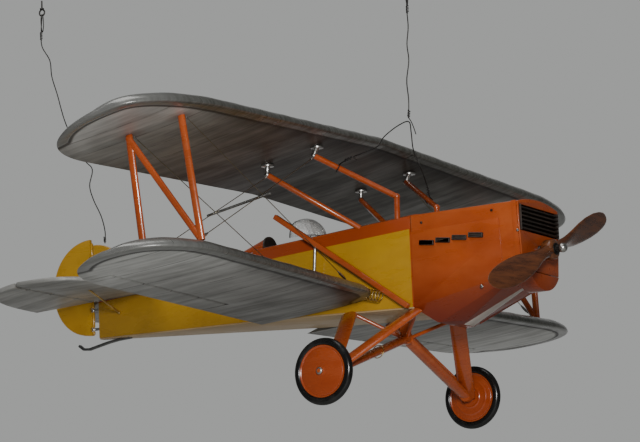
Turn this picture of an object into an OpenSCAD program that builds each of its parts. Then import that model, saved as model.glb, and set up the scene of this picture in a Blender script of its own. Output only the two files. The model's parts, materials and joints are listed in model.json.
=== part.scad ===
// Hanging display model of a biplane: hollow wings on N struts, a box fuselage, a sprung-look
// V undercarriage and a wooden propeller, hung on thin wire from two ceiling hooks.
// Millimetres. +X is the nose, +Y the left wing, +Z up. The origin is the foot of the front
// ceiling hook's shank. Shapes are drawn from the propeller hub and then moved by place().

/* [Wings] */
// Span of the upper wing
upper_span = 1414; // [1300:2:1500]
// Chord of the upper wing
upper_chord = 290; // [270:1:300]
// Nose-up angle of the upper wing, degrees
upper_incidence = 9.5; // [6:0.5:10]
// Angle that each upper half hangs down, degrees
upper_droop = 2.6; // [0:0.1:3]
// Span of the lower wings, tip to tip
lower_span = 1358; // [1250:2:1400]
// Chord of the lower wings
lower_chord = 250; // [235:1:260]
// Nose-up angle of the lower wings, degrees
lower_incidence = 5; // [3:0.5:6]
// Angle that each lower half rises, degrees
lower_dihedral = 1.7; // [0:0.1:2]

/* [Fuselage] */
// Half width of the fuselage at the firewall
body_half = 71; // [66:1:75]
// Thickness of the side panels and decks
panel = 2.5; // [2:0.1:3]
// Height of the arched deck above the side panels
deck_rise = 14; // [10:1:18]

/* [Propeller and wheels] */
// Length of a propeller blade from the hub
blade_length = 226; // [200:1:230]
// Turn of the propeller about its shaft, degrees
blade_turn = 21.8; // [0:0.1:180]
// Outer radius of a tyre
wheel_radius = 56; // [50:1:60]
// Radius of the tyre's round section
tyre_section = 7; // [5:0.5:8]
// Radius of the wheel axles
axle_radius = 3.5; // [3:0.1:4]
// Play all round between a shaft and its bore
running_play = 0.06; // [0.03:0.01:0.1]

/* [Hanging] */
// Radius of the hanging wire
wire_radius = 1; // [0.8:0.1:1.2]
// Radius of a ceiling hook's screw shank
shank_radius = 1.5; // [1.2:0.1:2]
// Length of a ceiling hook's screw shank
shank_length = 15; // [10:1:20]

/* [Hidden] */
$fn = 48;
cut = 1;                       // how far a cutting solid runs past a face

// Fuselage stations, from the propeller hub
firewall_x = -228;
mid_x = -500;
mid_half = 66;
post_x = -945;
post_half = 6;
top_front = 79;
top_rear = 42;
floor_front = -77;
floor_rear = -38;
cockpit_front = -492;
cockpit_rear = -562;
cockpit_half = 42;

// Nose
nose_x = -19;
plate = 3;
shaft_radius = 4;
shaft_fit = 0.05;
cowl_top = 90;
cowl_roof_radius = 257;
nose_floor = -37;
nose_half = 60;
fold_z = 50;
fold_half = 69;
heel = [-195, 45, -105];       // corners of the folded underside: x, half width, height
chin = [-165, 18, -109];
keel = [-45, 6, -55];
pan_edge = 1.5;
scoop_gap = 3.5;
scoop_radius = 58;

// Wings: leading edge at the centre line, and the rounded tips
upper_le = [-309, 229];
upper_sweep = 1.5;
upper_tip = 212;
upper_tip_crest = 0.31;
lower_le = [-290, -50];
lower_tip = 147;
lower_tip_crest = 0.44;
root_half = body_half + 0.4;
root_nick = 36;                // size of the cut-back front corner of a lower wing
skin = 1.6;
inner_gap = 0.3;
spar_front = 0.19;
spar_rear = 0.55;
spar_width = 6;
rib_width = 3;
rib_pitch = 76;
aileron_in = 250;
aileron_out = 575;
aileron_chord = 56;
hinge_gap = 3;
pin_radius = 1.4;

// Struts and undercarriage
strut_radius = 5;
strut_y = 560;
n_foot = 0.1;
n_width = 13;
n_thick = 9;
leg_width = 30;
leg_thick = 10;
axle_width = 22;
axle_thick = 14;
wire_r = 0.7;
axle_point = [-304, 222, -195];
wheel_y = 242;
hub_half = 11;
pivot_point = [-290, 0, -118];

// Tail
tail_z = 34;
hinge_x = -954;
rudder_x = -962;
stabiliser_reach = 150;
stabiliser_half = 242;
elevator_reach = 103;
elevator_half = 236;
elevator_droop = 7;
tail_thick = 8;
fin_thick = 6;

// Hooks, from the propeller hub
hook_x = -256;
hook_z = 505;
rear_hook_x = -1066;
rear_hook_z = 612;
eye_radius = 6;
hook_wire = 1.5;

// Routes of the hanging wires, from the propeller hub
front_route = [[-256, 0, 488], [-257, 0, 460], [-256, 0, 430], [-260, 0, 400], [-258, 0, 370],
    [-264, 0, 335], [-262, 0, 300], [-264, 0, 268]];
rear_route = [[-1066, 0, 595], [-1069, 0, 570], [-1068, 0, 538], [-1050, 0, 507], [-1046, 0, 475],
    [-1034, 0, 438], [-1014, 0, 375], [-976, 0, 306], [-956, 0, 282], [-963, 0, 252],
    [-955, 0, 224], [-938, 0, 190], [-930, 0, 160], [-931, 0, 138]];
bridle_route = [[-287, 81, 138], [-286, 89, 132], [-279, 93, 138], [-280, 85, 145], [-278, 74, 164],
    [-276, 52, 192], [-280, 38, 220], [-272, 20, 246], [-264, 0, 262], [-274, -22, 252],
    [-288, -44, 232], [-292, -62, 212], [-304, -82, 201], [-318, -104, 190], [-330, -123, 178],
    [-328, -131, 171], [-336, -128, 164], [-338, -119, 171], [-334, -115, 178]];

module place() translate([-hook_x, 0, -hook_z]) children();
module both_sides() for (s = [0, 1]) mirror([0, s, 0]) children();

// A round bar from a to b
module bar(a, b, r) {
    d = b - a;
    translate(a) rotate([0, acos(d.z / norm(d)), atan2(d.y, d.x)]) cylinder(h = norm(d), r = r);
}

// A streamlined bar from a to b, its width turned to the flow
module blade(a, b, width, thick) {
    d = unit(b - a);
    w = unit([1, 0, 0] - d.x * d);
    t = cross(w, d);
    multmatrix([[t.x, w.x, d.x, a.x], [t.y, w.y, d.y, a.y], [t.z, w.z, d.z, a.z], [0, 0, 0, 1]])
        linear_extrude(norm(b - a)) polygon(oval(thick / 2, width / 2));
}

function oval(rx, ry, n = 32) = [for (i = [0 : n - 1]) [rx * cos(360 * i / n), ry * sin(360 * i / n)]];
function mix(a, b, t) = a + (b - a) * t;
function unit(v) = v / norm(v);

// ---------------------------------------------------------------- fuselage

function along(x) = (x - firewall_x) / (post_x - firewall_x);
function side_top(x) = mix(top_front, top_rear, along(x));
function side_floor(x) = mix(floor_front, floor_rear, along(x));
function half_at(x) = x > mid_x ? mix(body_half, mid_half, (x - firewall_x) / (mid_x - firewall_x))
    : mix(mid_half, post_half, (x - mid_x) / (post_x - mid_x));

// A slice of a side panel between two stations, its outer face on the body's outline
module side_slice(xa, xb) {
    run = norm([xb - xa, half_at(xb) - half_at(xa)]);
    translate([xa, -half_at(xa), 0]) rotate([0, 0, -atan2(half_at(xa) - half_at(xb), xa - xb)])
        rotate([90, 0, 0]) mirror([0, 0, 1]) linear_extrude(panel)
            polygon([[0, side_top(xa)], [-run, side_top(xb)], [-run, side_floor(xb)],
                [0, side_floor(xa)]]);
}
module side_panel() difference() {
    union() {
        side_slice(firewall_x, mid_x);
        side_slice(mid_x, post_x);
    }
    tail_slot(0.3);
}
// The slot through the body that the stabiliser sits in
module tail_slot(play) translate([post_x - 10, -60, tail_z - tail_thick / 2 - play])
    cube([160 + play, 120, tail_thick + 2 * play]);
module side_panel_right() { color("goldenrod") place() side_panel(); }
module side_panel_left() { color("goldenrod") place() mirror([0, 1, 0]) side_panel(); }

// The body's plan outline, drawn in by a margin
module body_plan(xa, xb, margin) {
    xs = xb < mid_x && xa > mid_x ? [xa, mid_x, xb] : [xa, xb];
    polygon(concat([for (x = xs) [x, -half_at(x) + margin]],
        [for (i = [len(xs) - 1 : -1 : 0]) [xs[i], half_at(xs[i]) - margin]]));
}

module belly_panel() {
    tilt = atan2(floor_rear - floor_front, firewall_x - post_x);
    color("bisque") place() translate([firewall_x, 0, floor_front - 0.1]) rotate([0, tilt, 0])
        translate([-firewall_x, 0, -panel]) linear_extrude(panel) body_plan(firewall_x, post_x, 0);
}

// The arched front deck, with the cockpit's opening
module deck_solid(lift) {
    radius = (body_half * body_half + deck_rise * deck_rise) / (2 * deck_rise);
    tilt = atan2(top_front - top_rear, firewall_x - post_x);
    intersection() {
        linear_extrude(cowl_top * 2) body_plan(firewall_x, cockpit_rear, lift > 0 ? 0 : panel);
        translate([firewall_x, 0, top_front + deck_rise - radius + lift]) rotate([0, -tilt, 0])
            translate([cut, 0, 0]) rotate([0, -90, 0]) cylinder(h = 420, r = radius, $fn = 96);
        translate([firewall_x, 0, top_front + 0.1]) rotate([0, -tilt, 0])
            translate([-400, -100, 0]) cube([420, 200, 60]);
    }
}
module top_deck() {
    color("chocolate") place() difference() {
        deck_solid(0.01);
        deck_solid(-panel);
        translate([cockpit_rear - cut, -cockpit_half, 0])
            cube([cockpit_front - cockpit_rear + cut, 2 * cockpit_half, 200]);
    }
}

// The turtle deck: an arch that shrinks towards the tail post
module arch(x, half, base, rise) {
    radius = (half * half + rise * rise) / (2 * rise);
    translate([x, 0, base]) rotate([90, 0, -90]) linear_extrude(0.5) intersection() {
        translate([0, rise - radius]) circle(radius, $fn = 96);
        translate([-half, 0]) square([2 * half, rise + 1]);
    }
}
turtle_rise = [deck_rise - 1, 2];
turtle_x = [cockpit_rear - 0.3, post_x + 2];
module turtle(margin, drop) hull() {
    for (i = [0, 1]) arch(turtle_x[i], half_at(turtle_x[i]) - margin * (1 - 0.5 * i),
        side_top(turtle_x[i]) + 0.2, turtle_rise[i] - drop * (1 - 0.5 * i));
}
function crest(x) = mix(side_top(turtle_x[0]) + turtle_rise[0], side_top(turtle_x[1]) + turtle_rise[1],
    (x - turtle_x[0]) / (turtle_x[1] - turtle_x[0])) + 0.3;
module turtle_deck() {
    color("chocolate") place() difference() {
        turtle(0, 0);
        translate([0.8, 0, -0.5]) turtle(panel, panel);
        tail_slot(0.3);
    }
}

// Firewall, two formers, the instrument panel and the tail post
module former(x, gap) {
    half = half_at(x) - panel - 0.3;
    translate([x, 0, 0]) rotate([90, 0, -90]) linear_extrude(4) difference() {
        translate([-half, side_floor(x) + 0.2]) square([2 * half, side_top(x) - side_floor(x) - 1]);
        if (gap > 0) translate([-half + gap, side_floor(x) + gap])
            square([2 * half - 2 * gap, side_top(x) - side_floor(x) - 2 * gap]);
    }
}
module bulkheads() {
    color("burlywood") place() {
        former(firewall_x - 0.2, 0);
        former(-360, 12);
        former(cockpit_front + 6, 14);
        former(cockpit_rear - 4, 14);
        former(-740, 10);
        translate([post_x + 1, -2.6, side_floor(post_x) + 2])
            cube([8, 5.2, tail_z - tail_thick / 2 - side_floor(post_x) - 3]);
    }
}

module cockpit_floor() {
    color("burlywood") place() translate([cockpit_rear + 2, -cockpit_half, -38])
        cube([cockpit_front - cockpit_rear - 2, 2 * cockpit_half, 3]);
}

module seat() {
    color("saddlebrown") place() translate([cockpit_rear + 8, -26, -34.9]) {
        cube([42, 52, 10]);
        translate([0, 0, 10]) cube([6, 52, 44]);
    }
}

module headrest() {
    color("chocolate") place() translate([cockpit_rear - 3, 0, side_top(cockpit_rear) + deck_rise - 2])
        rotate([0, -90, 0]) difference() {
            cylinder(h = 52, r1 = 24, r2 = 8);
            translate([-30, -30, -cut]) cube([30, 60, 60]);
        }
}

module windshield() {
    dome = 37;
    color("lightgrey", 0.5) place() translate([-486, 0, 84]) difference() {
        sphere(dome);
        sphere(dome - 1.2);
        translate([-90 - 12, -60, -60]) cube([90, 120, 120]);
        translate([-60, -60, -60]) cube([120, 120, 60]);
    }
}

// ---------------------------------------------------------------- nose

// The cowl's form shrunk by a margin: sides that fold in to a narrow keel, under an arched roof
module cowl_form(margin) {
    run = margin > 0 ? cut : 0;
    side = [[firewall_x - run, body_half, cowl_top + 10], [nose_x + run, fold_half, cowl_top + 10],
        [firewall_x - run, body_half, floor_front], [nose_x + run, fold_half, fold_z],
        [nose_x + run, nose_half, nose_floor], heel, chin, keel];
    corners = [for (s = [-1, 1], p = side) [p.x, s * (p.y - margin), p.z + margin]];
    intersection() {
        hull() polyhedron(corners, [[for (i = [0 : len(corners) - 1]) i]]);
        translate([firewall_x - 2 * cut, 0, cowl_top - margin - cowl_roof_radius])
            rotate([0, 91, 0]) cylinder(h = 240, r = cowl_roof_radius, $fn = 128);
    }
}
module slice(back, front) translate([back, -100, -150]) cube([front - back, 200, 300]);
module cowl_shell() {
    color("chocolate") place() difference() {
        intersection() {
            cowl_form(0);
            slice(firewall_x, nose_x - plate);
        }
        cowl_form(panel);
        pan_slope() translate([0, 0, -8]) linear_extrude(20) pan_plan(0);
        stub_places() translate([-14, -3, -4.5]) cube([28, 9, 9]);
        translate([-220, 0, 0]) side_screws(1.6);
    }
}

// Places things on the keel's slope, where the pan closes it
keel_run = norm([keel.x - chin.x, keel.z - chin.z]);
module pan_slope() {
    translate([chin.x, 0, chin.z])
        rotate([0, -atan2(keel.z - chin.z, keel.x - chin.x), 0]) children();
}
module pan_plan(gap) polygon([for (p = [[-1, gap, chin.y], [-1, keel_run - gap, keel.y],
    [1, keel_run - gap, keel.y], [1, gap, chin.y]]) [p[1], p[0] * (p[2] - pan_edge - gap)]]);
module cowl_pan() {
    color("mistyrose") place() pan_slope() linear_extrude(panel) pan_plan(0.3);
}

// Four short exhausts step along the right side
module stub_places()
    for (i = [0 : 3]) translate([-196 + 32 * i, -body_half, 29]) rotate([0, 8, 0]) children();
module exhaust_stubs() {
    color("black") place() stub_places() difference() {
        translate([-13.7, -5, -4.2]) cube([27.4, 10, 8.4]);
        translate([-12, -5 - cut, -2.6]) cube([24, 9, 5.2]);
    }
}

module nose_plate() {
    color("chocolate") place() difference() {
        intersection() {
            cowl_form(0);
            slice(nose_x - plate + 0.1, nose_x);
        }
        translate([nose_x - 20, -65, 28]) cube([40, 130, 44]);
        translate([nose_x - 20, 0, 0]) rotate([0, 90, 0]) cylinder(h = 40, r = 9.2);
    }
}
module radiator_slats() {
    color("dimgray") place() {
        for (i = [0 : 5]) translate([nose_x - 6, -64, 30.5 + 7 * i]) cube([9, 128, 2.6]);
        for (y = [-1, 1]) translate([nose_x - 6, y * 63.2 - 0.8, 28.2]) cube([9, 1.6, 43.6]);
    }
}
module radiator_core() {
    color("black") place() translate([nose_x - 12, -62, 29]) cube([5.8, 124, 42]);
}
// A half-round chin under the nose plate, hollow behind its front wall
module chin_scoop() {
    color("chocolate") place() difference() {
        intersection() {
            scoop_round(-44, 31, scoop_radius);
            translate([-60, -80, -90]) cube([60, 160, 90 + nose_floor - scoop_gap]);
        }
        scoop_round(-60, 43, scoop_radius - 4);
        cowl_form(-0.1);
    }
}
module scoop_round(x, length, r) translate([x, 0, -10]) rotate([0, 90, 0]) cylinder(h = length, r = r);

// Screws on the cowl's sides, and the nuts that keep the wheels on
module side_screws(r) {
    for (p = [[14, 65], [151, 67], [198, 27]]) translate([p.x, -body_half, p.y])
        rotate([90, 0, 0]) translate([0, 0, -4]) cylinder(h = 8, r = r);
}
module fasteners() {
    color("silver") place() {
        translate([-220, 0, 0]) side_screws(1.5);
        translate([-97, -body_half - 0.1, -58]) rotate([90, 0, 0]) cylinder(h = 4, r = 3);
        both_sides() translate([axle_point.x, -wheel_y - hub_half - 1, axle_point.z])
            rotate([90, 0, 0]) difference() {
                cylinder(h = 4, r = 6, $fn = 6);
                translate([0, 0, -cut]) cylinder(h = 6, r = axle_radius);
            }
    }
}

module shaft_bearing() {
    color("gray") place() difference() {
        union() {
            translate([nose_x - 40, 0, 0]) rotate([0, 90, 0]) cylinder(h = 44, r = 9);
            translate([nose_x - 40, 0, 0]) rotate([0, 90, 0]) cylinder(h = 4, r = 20);
        }
        translate([-80, 0, 0]) rotate([0, 90, 0]) cylinder(h = 90, r = shaft_radius + running_play);
    }
}
module prop_shaft() {
    color("silver") place() {
        translate([-68, 0, 0]) rotate([0, 90, 0]) cylinder(h = 92, r = shaft_radius);
        translate([-68, 0, 0]) rotate([0, 90, 0]) cylinder(h = 8, r = 7);
    }
}

// One carved blade: five pitched oval sections joined by hulls
blade_stations = [[16, 20, 17, 52], [50, 26, 11, 42], [100, 44, 8, 30], [165, 46, 6, 22], [210, 30, 4, 18]];
module blade_section(s) translate([0, s[0], 0]) rotate([90, 0, 0]) rotate([0, 0, 90 - s[3]])
    linear_extrude(0.5) polygon(oval(s[1] / 2, s[2] / 2, 24));
module propeller() {
    color("sienna") place() difference() {
        rotate([blade_turn, 0, 0]) {
            for (turn = [0, 180]) rotate([turn, 0, 0]) {
                for (i = [0 : 2]) hull() {
                    blade_section(blade_stations[i]);
                    blade_section(blade_stations[i + 1]);
                }
            }
            rotate([0, 90, 0]) translate([0, 0, -10]) cylinder(h = 20, r = 17);
            for (turn = [0, 180]) rotate([turn, 0, 0]) blade_tip();
        }
        translate([-20, 0, 0]) rotate([0, 90, 0]) cylinder(h = 40, r = shaft_radius + shaft_fit);
    }
}
module blade_tip() hull() {
    blade_section(blade_stations[3]);
    blade_section(blade_stations[4]);
    translate([0, blade_length - 1, 0]) rotate([90, 0, 0]) rotate([0, 0, 74]) linear_extrude(0.5)
        polygon(oval(6, 1.5, 12));
}
module prop_nut() {
    color("silver") place() rotate([0, 90, 0]) {
        difference() {
            translate([0, 0, 10.1]) cylinder(h = 2.4, r = 12);
            cylinder(h = 40, r = shaft_radius + shaft_fit);
        }
        difference() {
            union() {
                translate([0, 0, 12.6]) cylinder(h = 9, r = 8, $fn = 6);
                translate([0, 0, 24]) sphere(8);
            }
            cylinder(h = 24.05, r = shaft_radius + shaft_fit);
        }
    }
}

// ---------------------------------------------------------------- wings

// Flat-bottomed section: height of the upper and lower surface at a fraction of the chord
function bulge(s) = 5 * 0.12 * (0.2969 * sqrt(s) - 0.126 * s - 0.3516 * s * s
    + 0.2843 * pow(s, 3) - 0.1036 * pow(s, 4));
function over(s, c) = 1.7 * c * bulge(s);
function under(s, c) = -0.3 * c * bulge(s);
steps = [for (i = [0 : 14]) (1 - cos(180 * i / 14)) / 2];
function section(c, inset) = concat(
    [for (i = [14 : -1 : 0]) if (over(steps[i], c) > 2 * inset) [-steps[i] * c, over(steps[i], c) - inset]],
    [for (i = [0 : 14]) if (over(steps[i], c) > 2 * inset) [-steps[i] * c, under(steps[i], c) + inset]]);

// Half plan of a wing: straight edges and a rounded tip
function tip_point(c, half, tip, crest, a) =
    let (u = cos(a), v = pow(abs(sin(a)), 0.9), w = pow(abs(u), 0.9))
    [-c * (u > 0 ? crest - crest * w : crest + (1 - crest) * w), -(half - tip + tip * v)];
function half_plan(c, half, tip, crest, root, nick) = concat(
    nick > 0 ? [[-nick, -root], [-0.35 * nick, -root - 0.4 * nick], [0, -root - nick]] : [[0, -root]],
    [[0, -(half - tip)]],
    [for (a = [6 : 6 : 174]) tip_point(c, half, tip, crest, a)], [[-c, -(half - tip)], [-c, -root]]);

// A right half wing in its own frame, inset by a margin all round
module half_wing(c, half, tip, crest, root, inset, nick = 0) {
    intersection() {
        translate([0, max(0, -root), 0]) rotate([90, 0, 0]) linear_extrude(half + 10)
            polygon(section(c, inset));
        translate([0, 0, -c / 4]) linear_extrude(c / 2) translate([-inset, inset > 0 ? inset : 0])
            polygon(half_plan(c - 2 * inset, half, tip, crest, root, nick > 0 ? nick + 3 * inset : 0));
    }
}
module upper_frame() {
    both_sides() translate([upper_le.x, 0, upper_le.y]) rotate([upper_droop, 0, upper_sweep])
        rotate([0, -upper_incidence, 0]) children();
}
module lower_frame() {
    translate([lower_le.x, 0, lower_le.y]) rotate([-lower_dihedral, 0, 0])
        rotate([0, -lower_incidence, 0]) children();
}
module upper_half(inset) half_wing(upper_chord, upper_span / 2, upper_tip, upper_tip_crest, -4, inset);
module lower_half(inset) half_wing(lower_chord, lower_span / 2, lower_tip, lower_tip_crest,
    root_half, inset, root_nick);

module upper_wing_skin() {
    color("darkgray") place() difference() {
        upper_frame() upper_half(0);
        upper_frame() upper_half(skin);
    }
}
module upper_spar(s, clearance) translate([-s * upper_chord - spar_width / 2 - clearance, -640, -60])
    cube([spar_width + 2 * clearance, 639, 120]);
module upper_wing_spars() {
    color("burlywood") place() upper_frame() intersection() {
        upper_half(skin + inner_gap);
        for (s = [spar_front, spar_rear]) upper_spar(s, 0);
    }
}
module upper_wing_ribs() {
    color("burlywood") place() upper_frame() difference() {
        intersection() {
            upper_half(skin + inner_gap);
            for (i = [0 : 8]) translate([-400, -i * rib_pitch - 8 - rib_width, -60])
                cube([400, rib_width, 120]);
        }
        for (s = [spar_front, spar_rear]) upper_spar(s, 0.1);
    }
}

// The bay that an aileron fills at a lower wing's trailing edge
module aileron_bay(margin) translate([-lower_chord - 2, -aileron_out + margin, -30])
    cube([aileron_chord + 2 - margin, aileron_out - aileron_in - 2 * margin, 60]);
module lower_skin() lower_frame() difference() {
    lower_half(0);
    difference() {
        lower_half(skin);
        translate([-skin, 0, 0]) aileron_bay(-2 * skin);
        translate([-300, -root_half - 3, -60]) cube([320, 6, 120]);
    }
    aileron_bay(0);
}
module lower_wing_right() { color("darkgray") place() lower_skin(); }
module lower_wing_left() { color("darkgray") place() mirror([0, 1, 0]) lower_skin(); }
module lower_spar(s, clearance) translate([-s * lower_chord - spar_width / 2 - clearance, -600, -60])
    cube([spar_width + 2 * clearance, 600 - root_half - 4, 120]);
module lower_wing_spars() {
    color("burlywood") place() both_sides() lower_frame() intersection() {
        lower_half(skin + inner_gap);
        for (s = [spar_front, spar_rear]) lower_spar(s, 0);
    }
}
module lower_wing_ribs() {
    color("burlywood") place() both_sides() lower_frame() difference() {
        intersection() {
            lower_half(skin + inner_gap);
            for (i = [0 : 6]) translate([-400, -i * rib_pitch - 100 - rib_width, -60])
                cube([400, rib_width, 120]);
        }
        for (s = [spar_front, spar_rear]) lower_spar(s, 0.1);
        aileron_bay(-2 * skin - 1);
    }
}

// Ailerons turn on a rod that runs through eyes on the wing
aileron_rod = [-lower_chord + aileron_chord - 7, 4];
module aileron_eye_places() for (y = [aileron_in + 45, (aileron_in + aileron_out) / 2, aileron_out - 45])
    translate([aileron_rod.x, -y, aileron_rod.y]) children();
module aileron_piece() lower_frame() {
    difference() {
        intersection() {
            lower_half(0);
            aileron_bay(hinge_gap);
            translate([aileron_rod.x, 0, 0]) union() {
                translate([-100, -600, -30]) cube([97, 600, 60]);
                translate([0, 0, aileron_rod.y]) rotate([90, 0, 0]) cylinder(h = 600, r = 3.6);
            }
        }
        aileron_eye_places() translate([-6, -4, -20]) cube([40, 8, 40]);
    }
    translate([aileron_rod.x, -aileron_in - 1, aileron_rod.y]) rotate([90, 0, 0])
        cylinder(h = aileron_out - aileron_in - 2, r = pin_radius);
}
module aileron_right() { color("darkgray") place() aileron_piece(); }
module aileron_left() { color("darkgray") place() mirror([0, 1, 0]) aileron_piece(); }

// ---------------------------------------------------------------- tail

// A quarter of a rounded outline with corners squarer than an ellipse
function lobe(rx, ry, power, first, last, step = 6) = [for (a = [first : step : last])
    [rx * sign(cos(a)) * pow(abs(cos(a)), 2 / power), ry * sign(sin(a)) * pow(abs(sin(a)), 2 / power)]];

module stabiliser() {
    color("darkgray") place() translate([hinge_x + 5, 0, tail_z - tail_thick / 2])
        linear_extrude(tail_thick)
            polygon(lobe(stabiliser_reach - 5, stabiliser_half, 3.5, -90, 90));
}
module fin() {
    reach = 88;
    color("goldenrod") place() translate([0, fin_thick / 2, 0]) rotate([90, 0, 0])
        linear_extrude(fin_thick) intersection() {
            translate([rudder_x + 5, 40]) polygon(concat([[0, 0]], lobe(reach, 98, 2, 0, 90)));
            polygon([[-800, crest(-800)], [rudder_x, crest(rudder_x)], [rudder_x, 200], [-800, 200]]);
        }
}

// Heights of the rudder's hinge eyes, and how far out the elevator's are
rudder_eyes = [-20, 16, 68, 112];
elevator_eyes = [60, 130, 200];
module rudder() {
    color("goldenrod") place() {
        difference() {
            union() {
                translate([0, fin_thick / 2, 0]) rotate([90, 0, 0]) linear_extrude(fin_thick)
                    intersection() {
                        translate([rudder_x, 59]) polygon(lobe(88, 90, 2.1, 90, 270));
                        translate([rudder_x - 102, -100]) square([100, 300]);
                    }
                translate([rudder_x, 0, -29]) cylinder(h = 170, r = fin_thick / 2);
            }
            for (z = rudder_eyes) translate([rudder_x - 6, -8, z - 4]) cube([20, 16, 8]);
            translate([rudder_x - 0.5, -8, tail_z - 9]) cube([20, 16, 18]);
        }
        translate([rudder_x, 0, -31]) cylinder(h = 174, r = pin_radius);
    }
}
module elevator_half_plan() intersection() {
    polygon(concat([[0, 0]], lobe(elevator_reach, elevator_half, 3, 180, 270)));
    polygon([[0, -8], [-elevator_reach - 5, -8 - 0.4 * (elevator_reach + 5)],
        [-elevator_reach - 5, -300], [0, -300]]);
}
module elevator() {
    color("darkgray") place() translate([hinge_x, 0, tail_z]) rotate([0, -elevator_droop, 0]) {
        both_sides() difference() {
            union() {
                translate([0, 0, -tail_thick / 2]) linear_extrude(tail_thick) intersection() {
                    elevator_half_plan();
                    translate([-120, -300]) square([117, 300]);
                }
                translate([0, -12, 0]) rotate([90, 0, 0]) cylinder(h = elevator_half - 24, r = 3.9);
            }
            for (y = elevator_eyes) translate([-6, -y - 4, -10]) cube([20, 8, 20]);
        }
        translate([0, elevator_half - 12, 0]) rotate([90, 0, 0])
            cylinder(h = 2 * (elevator_half - 12), r = pin_radius);
    }
}

// An eye with an arm, its bore along Z
module hinge_eye(arm) {
    difference() {
        union() {
            translate([0, 0, -2.5]) cylinder(h = 5, r = 2.9);
            translate([0, -1, -2.5]) cube([arm, 2, 5]);
        }
        translate([0, 0, -5]) cylinder(h = 10, r = pin_radius + running_play);
    }
}
module hinge_brackets() {
    color("silver") place() {
        for (z = rudder_eyes) translate([rudder_x, 0, z]) hinge_eye(z > 30 ? 4.9 : 17.9);
        both_sides() for (y = elevator_eyes)
            translate([hinge_x, -y, tail_z]) rotate([90, 0, 0]) hinge_eye(4.9);
        both_sides() lower_frame() aileron_eye_places() rotate([90, 0, 0]) hinge_eye(6.9);
    }
}

module tail_braces() {
    color("silver") place() both_sides() {
        bar([-881, -118, tail_z - tail_thick / 2 + 0.5], [-892, -half_at(-892) + 0.5, 2], 1.8);
        translate([-892, -half_at(-892) - 1.5, 2]) sphere(3);
    }
}
// A bent steel strip, drawn as its centre line with a thickness to each side
skid_path = [[-876, -44], [-905, -45], [-930, -48], [-952, -52], [-972, -55.5], [-986, -54], [-996, -46]];
module tail_skid() {
    last = len(skid_path) - 1;
    rim = [for (i = [0 : last]) let (h = unit(skid_path[min(i + 1, last)] - skid_path[max(i - 1, 0)]))
        [-h.y, h.x]];
    color("gray") place() translate([0, 3.5, 0]) rotate([90, 0, 0]) linear_extrude(7) polygon(concat(
        [for (i = [0 : last]) skid_path[i] + 2.2 * rim[i]],
        [for (i = [last : -1 : 0]) skid_path[i] - 2.2 * rim[i]]));
}

// ---------------------------------------------------------------- struts and rigging

function turn_x(p, a) = [p.x, p.y * cos(a) - p.z * sin(a), p.y * sin(a) + p.z * cos(a)];
function turn_y(p, a) = [p.x * cos(a) + p.z * sin(a), p.y, -p.x * sin(a) + p.z * cos(a)];
function turn_z(p, a) = [p.x * cos(a) - p.y * sin(a), p.x * sin(a) + p.y * cos(a), p.z];
function upper_under(s, y) = [upper_le.x, 0, upper_le.y] + turn_z(turn_x(turn_y(
    [-s * upper_chord, -y, under(s, upper_chord)], -upper_incidence), upper_droop), upper_sweep);
function lower_over(s, y) = [lower_le.x, 0, lower_le.y] + turn_x(turn_y(
    [-s * lower_chord, -y, over(s, lower_chord)], -lower_incidence), -lower_dihedral);
up = [0, 0, 1];

front_top = [-366, -150, 193];
rear_top = [-463, -150, 174];
front_bend = [-255, -66, 118];
module cabane_front() {
    color("orangered") place() both_sides() {
        bar(front_top, front_bend, strut_radius);
        translate(front_bend) sphere(strut_radius + 0.8);
        bar([-256, -66, 78.5], front_bend, strut_radius);
    }
}
module cabane_rear() {
    color("orangered") place() both_sides() bar(rear_top, [-332, -65, 74], strut_radius);
}
module strut_fittings() {
    color("silver") place() both_sides() for (p = [front_top, rear_top]) {
        s = p == front_top ? spar_front : spar_rear;
        base = upper_under(s, 150);
        bar([base.x, -150, base.z - 0.5], [p.x, p.y, p.z], 4);
        translate(p) sphere(5.5);
        translate([base.x, -150, base.z - 3.5]) cylinder(h = 3, r = 11);
    }
}

// The right strut's front foot stands nearer the leading edge than the left one's
module n_strut(foot, sink) {
    front = [upper_under(spar_front, strut_y) + up, lower_over(foot, strut_y) - sink * up];
    rear = [upper_under(spar_rear, strut_y) + up, lower_over(spar_rear, strut_y) - up];
    blade(front[0], front[1], n_width, n_thick);
    blade(rear[0], rear[1], n_width, n_thick);
    blade(rear[0] - [2, 0, 4], front[1] + [-4, 0, 5], n_width - 2, n_thick);
}
module n_strut_right() { color("orangered") place() n_strut(n_foot, 0.2); }
module n_strut_left() { color("orangered") place() mirror([0, 1, 0]) n_strut(spar_front, 1); }

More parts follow.
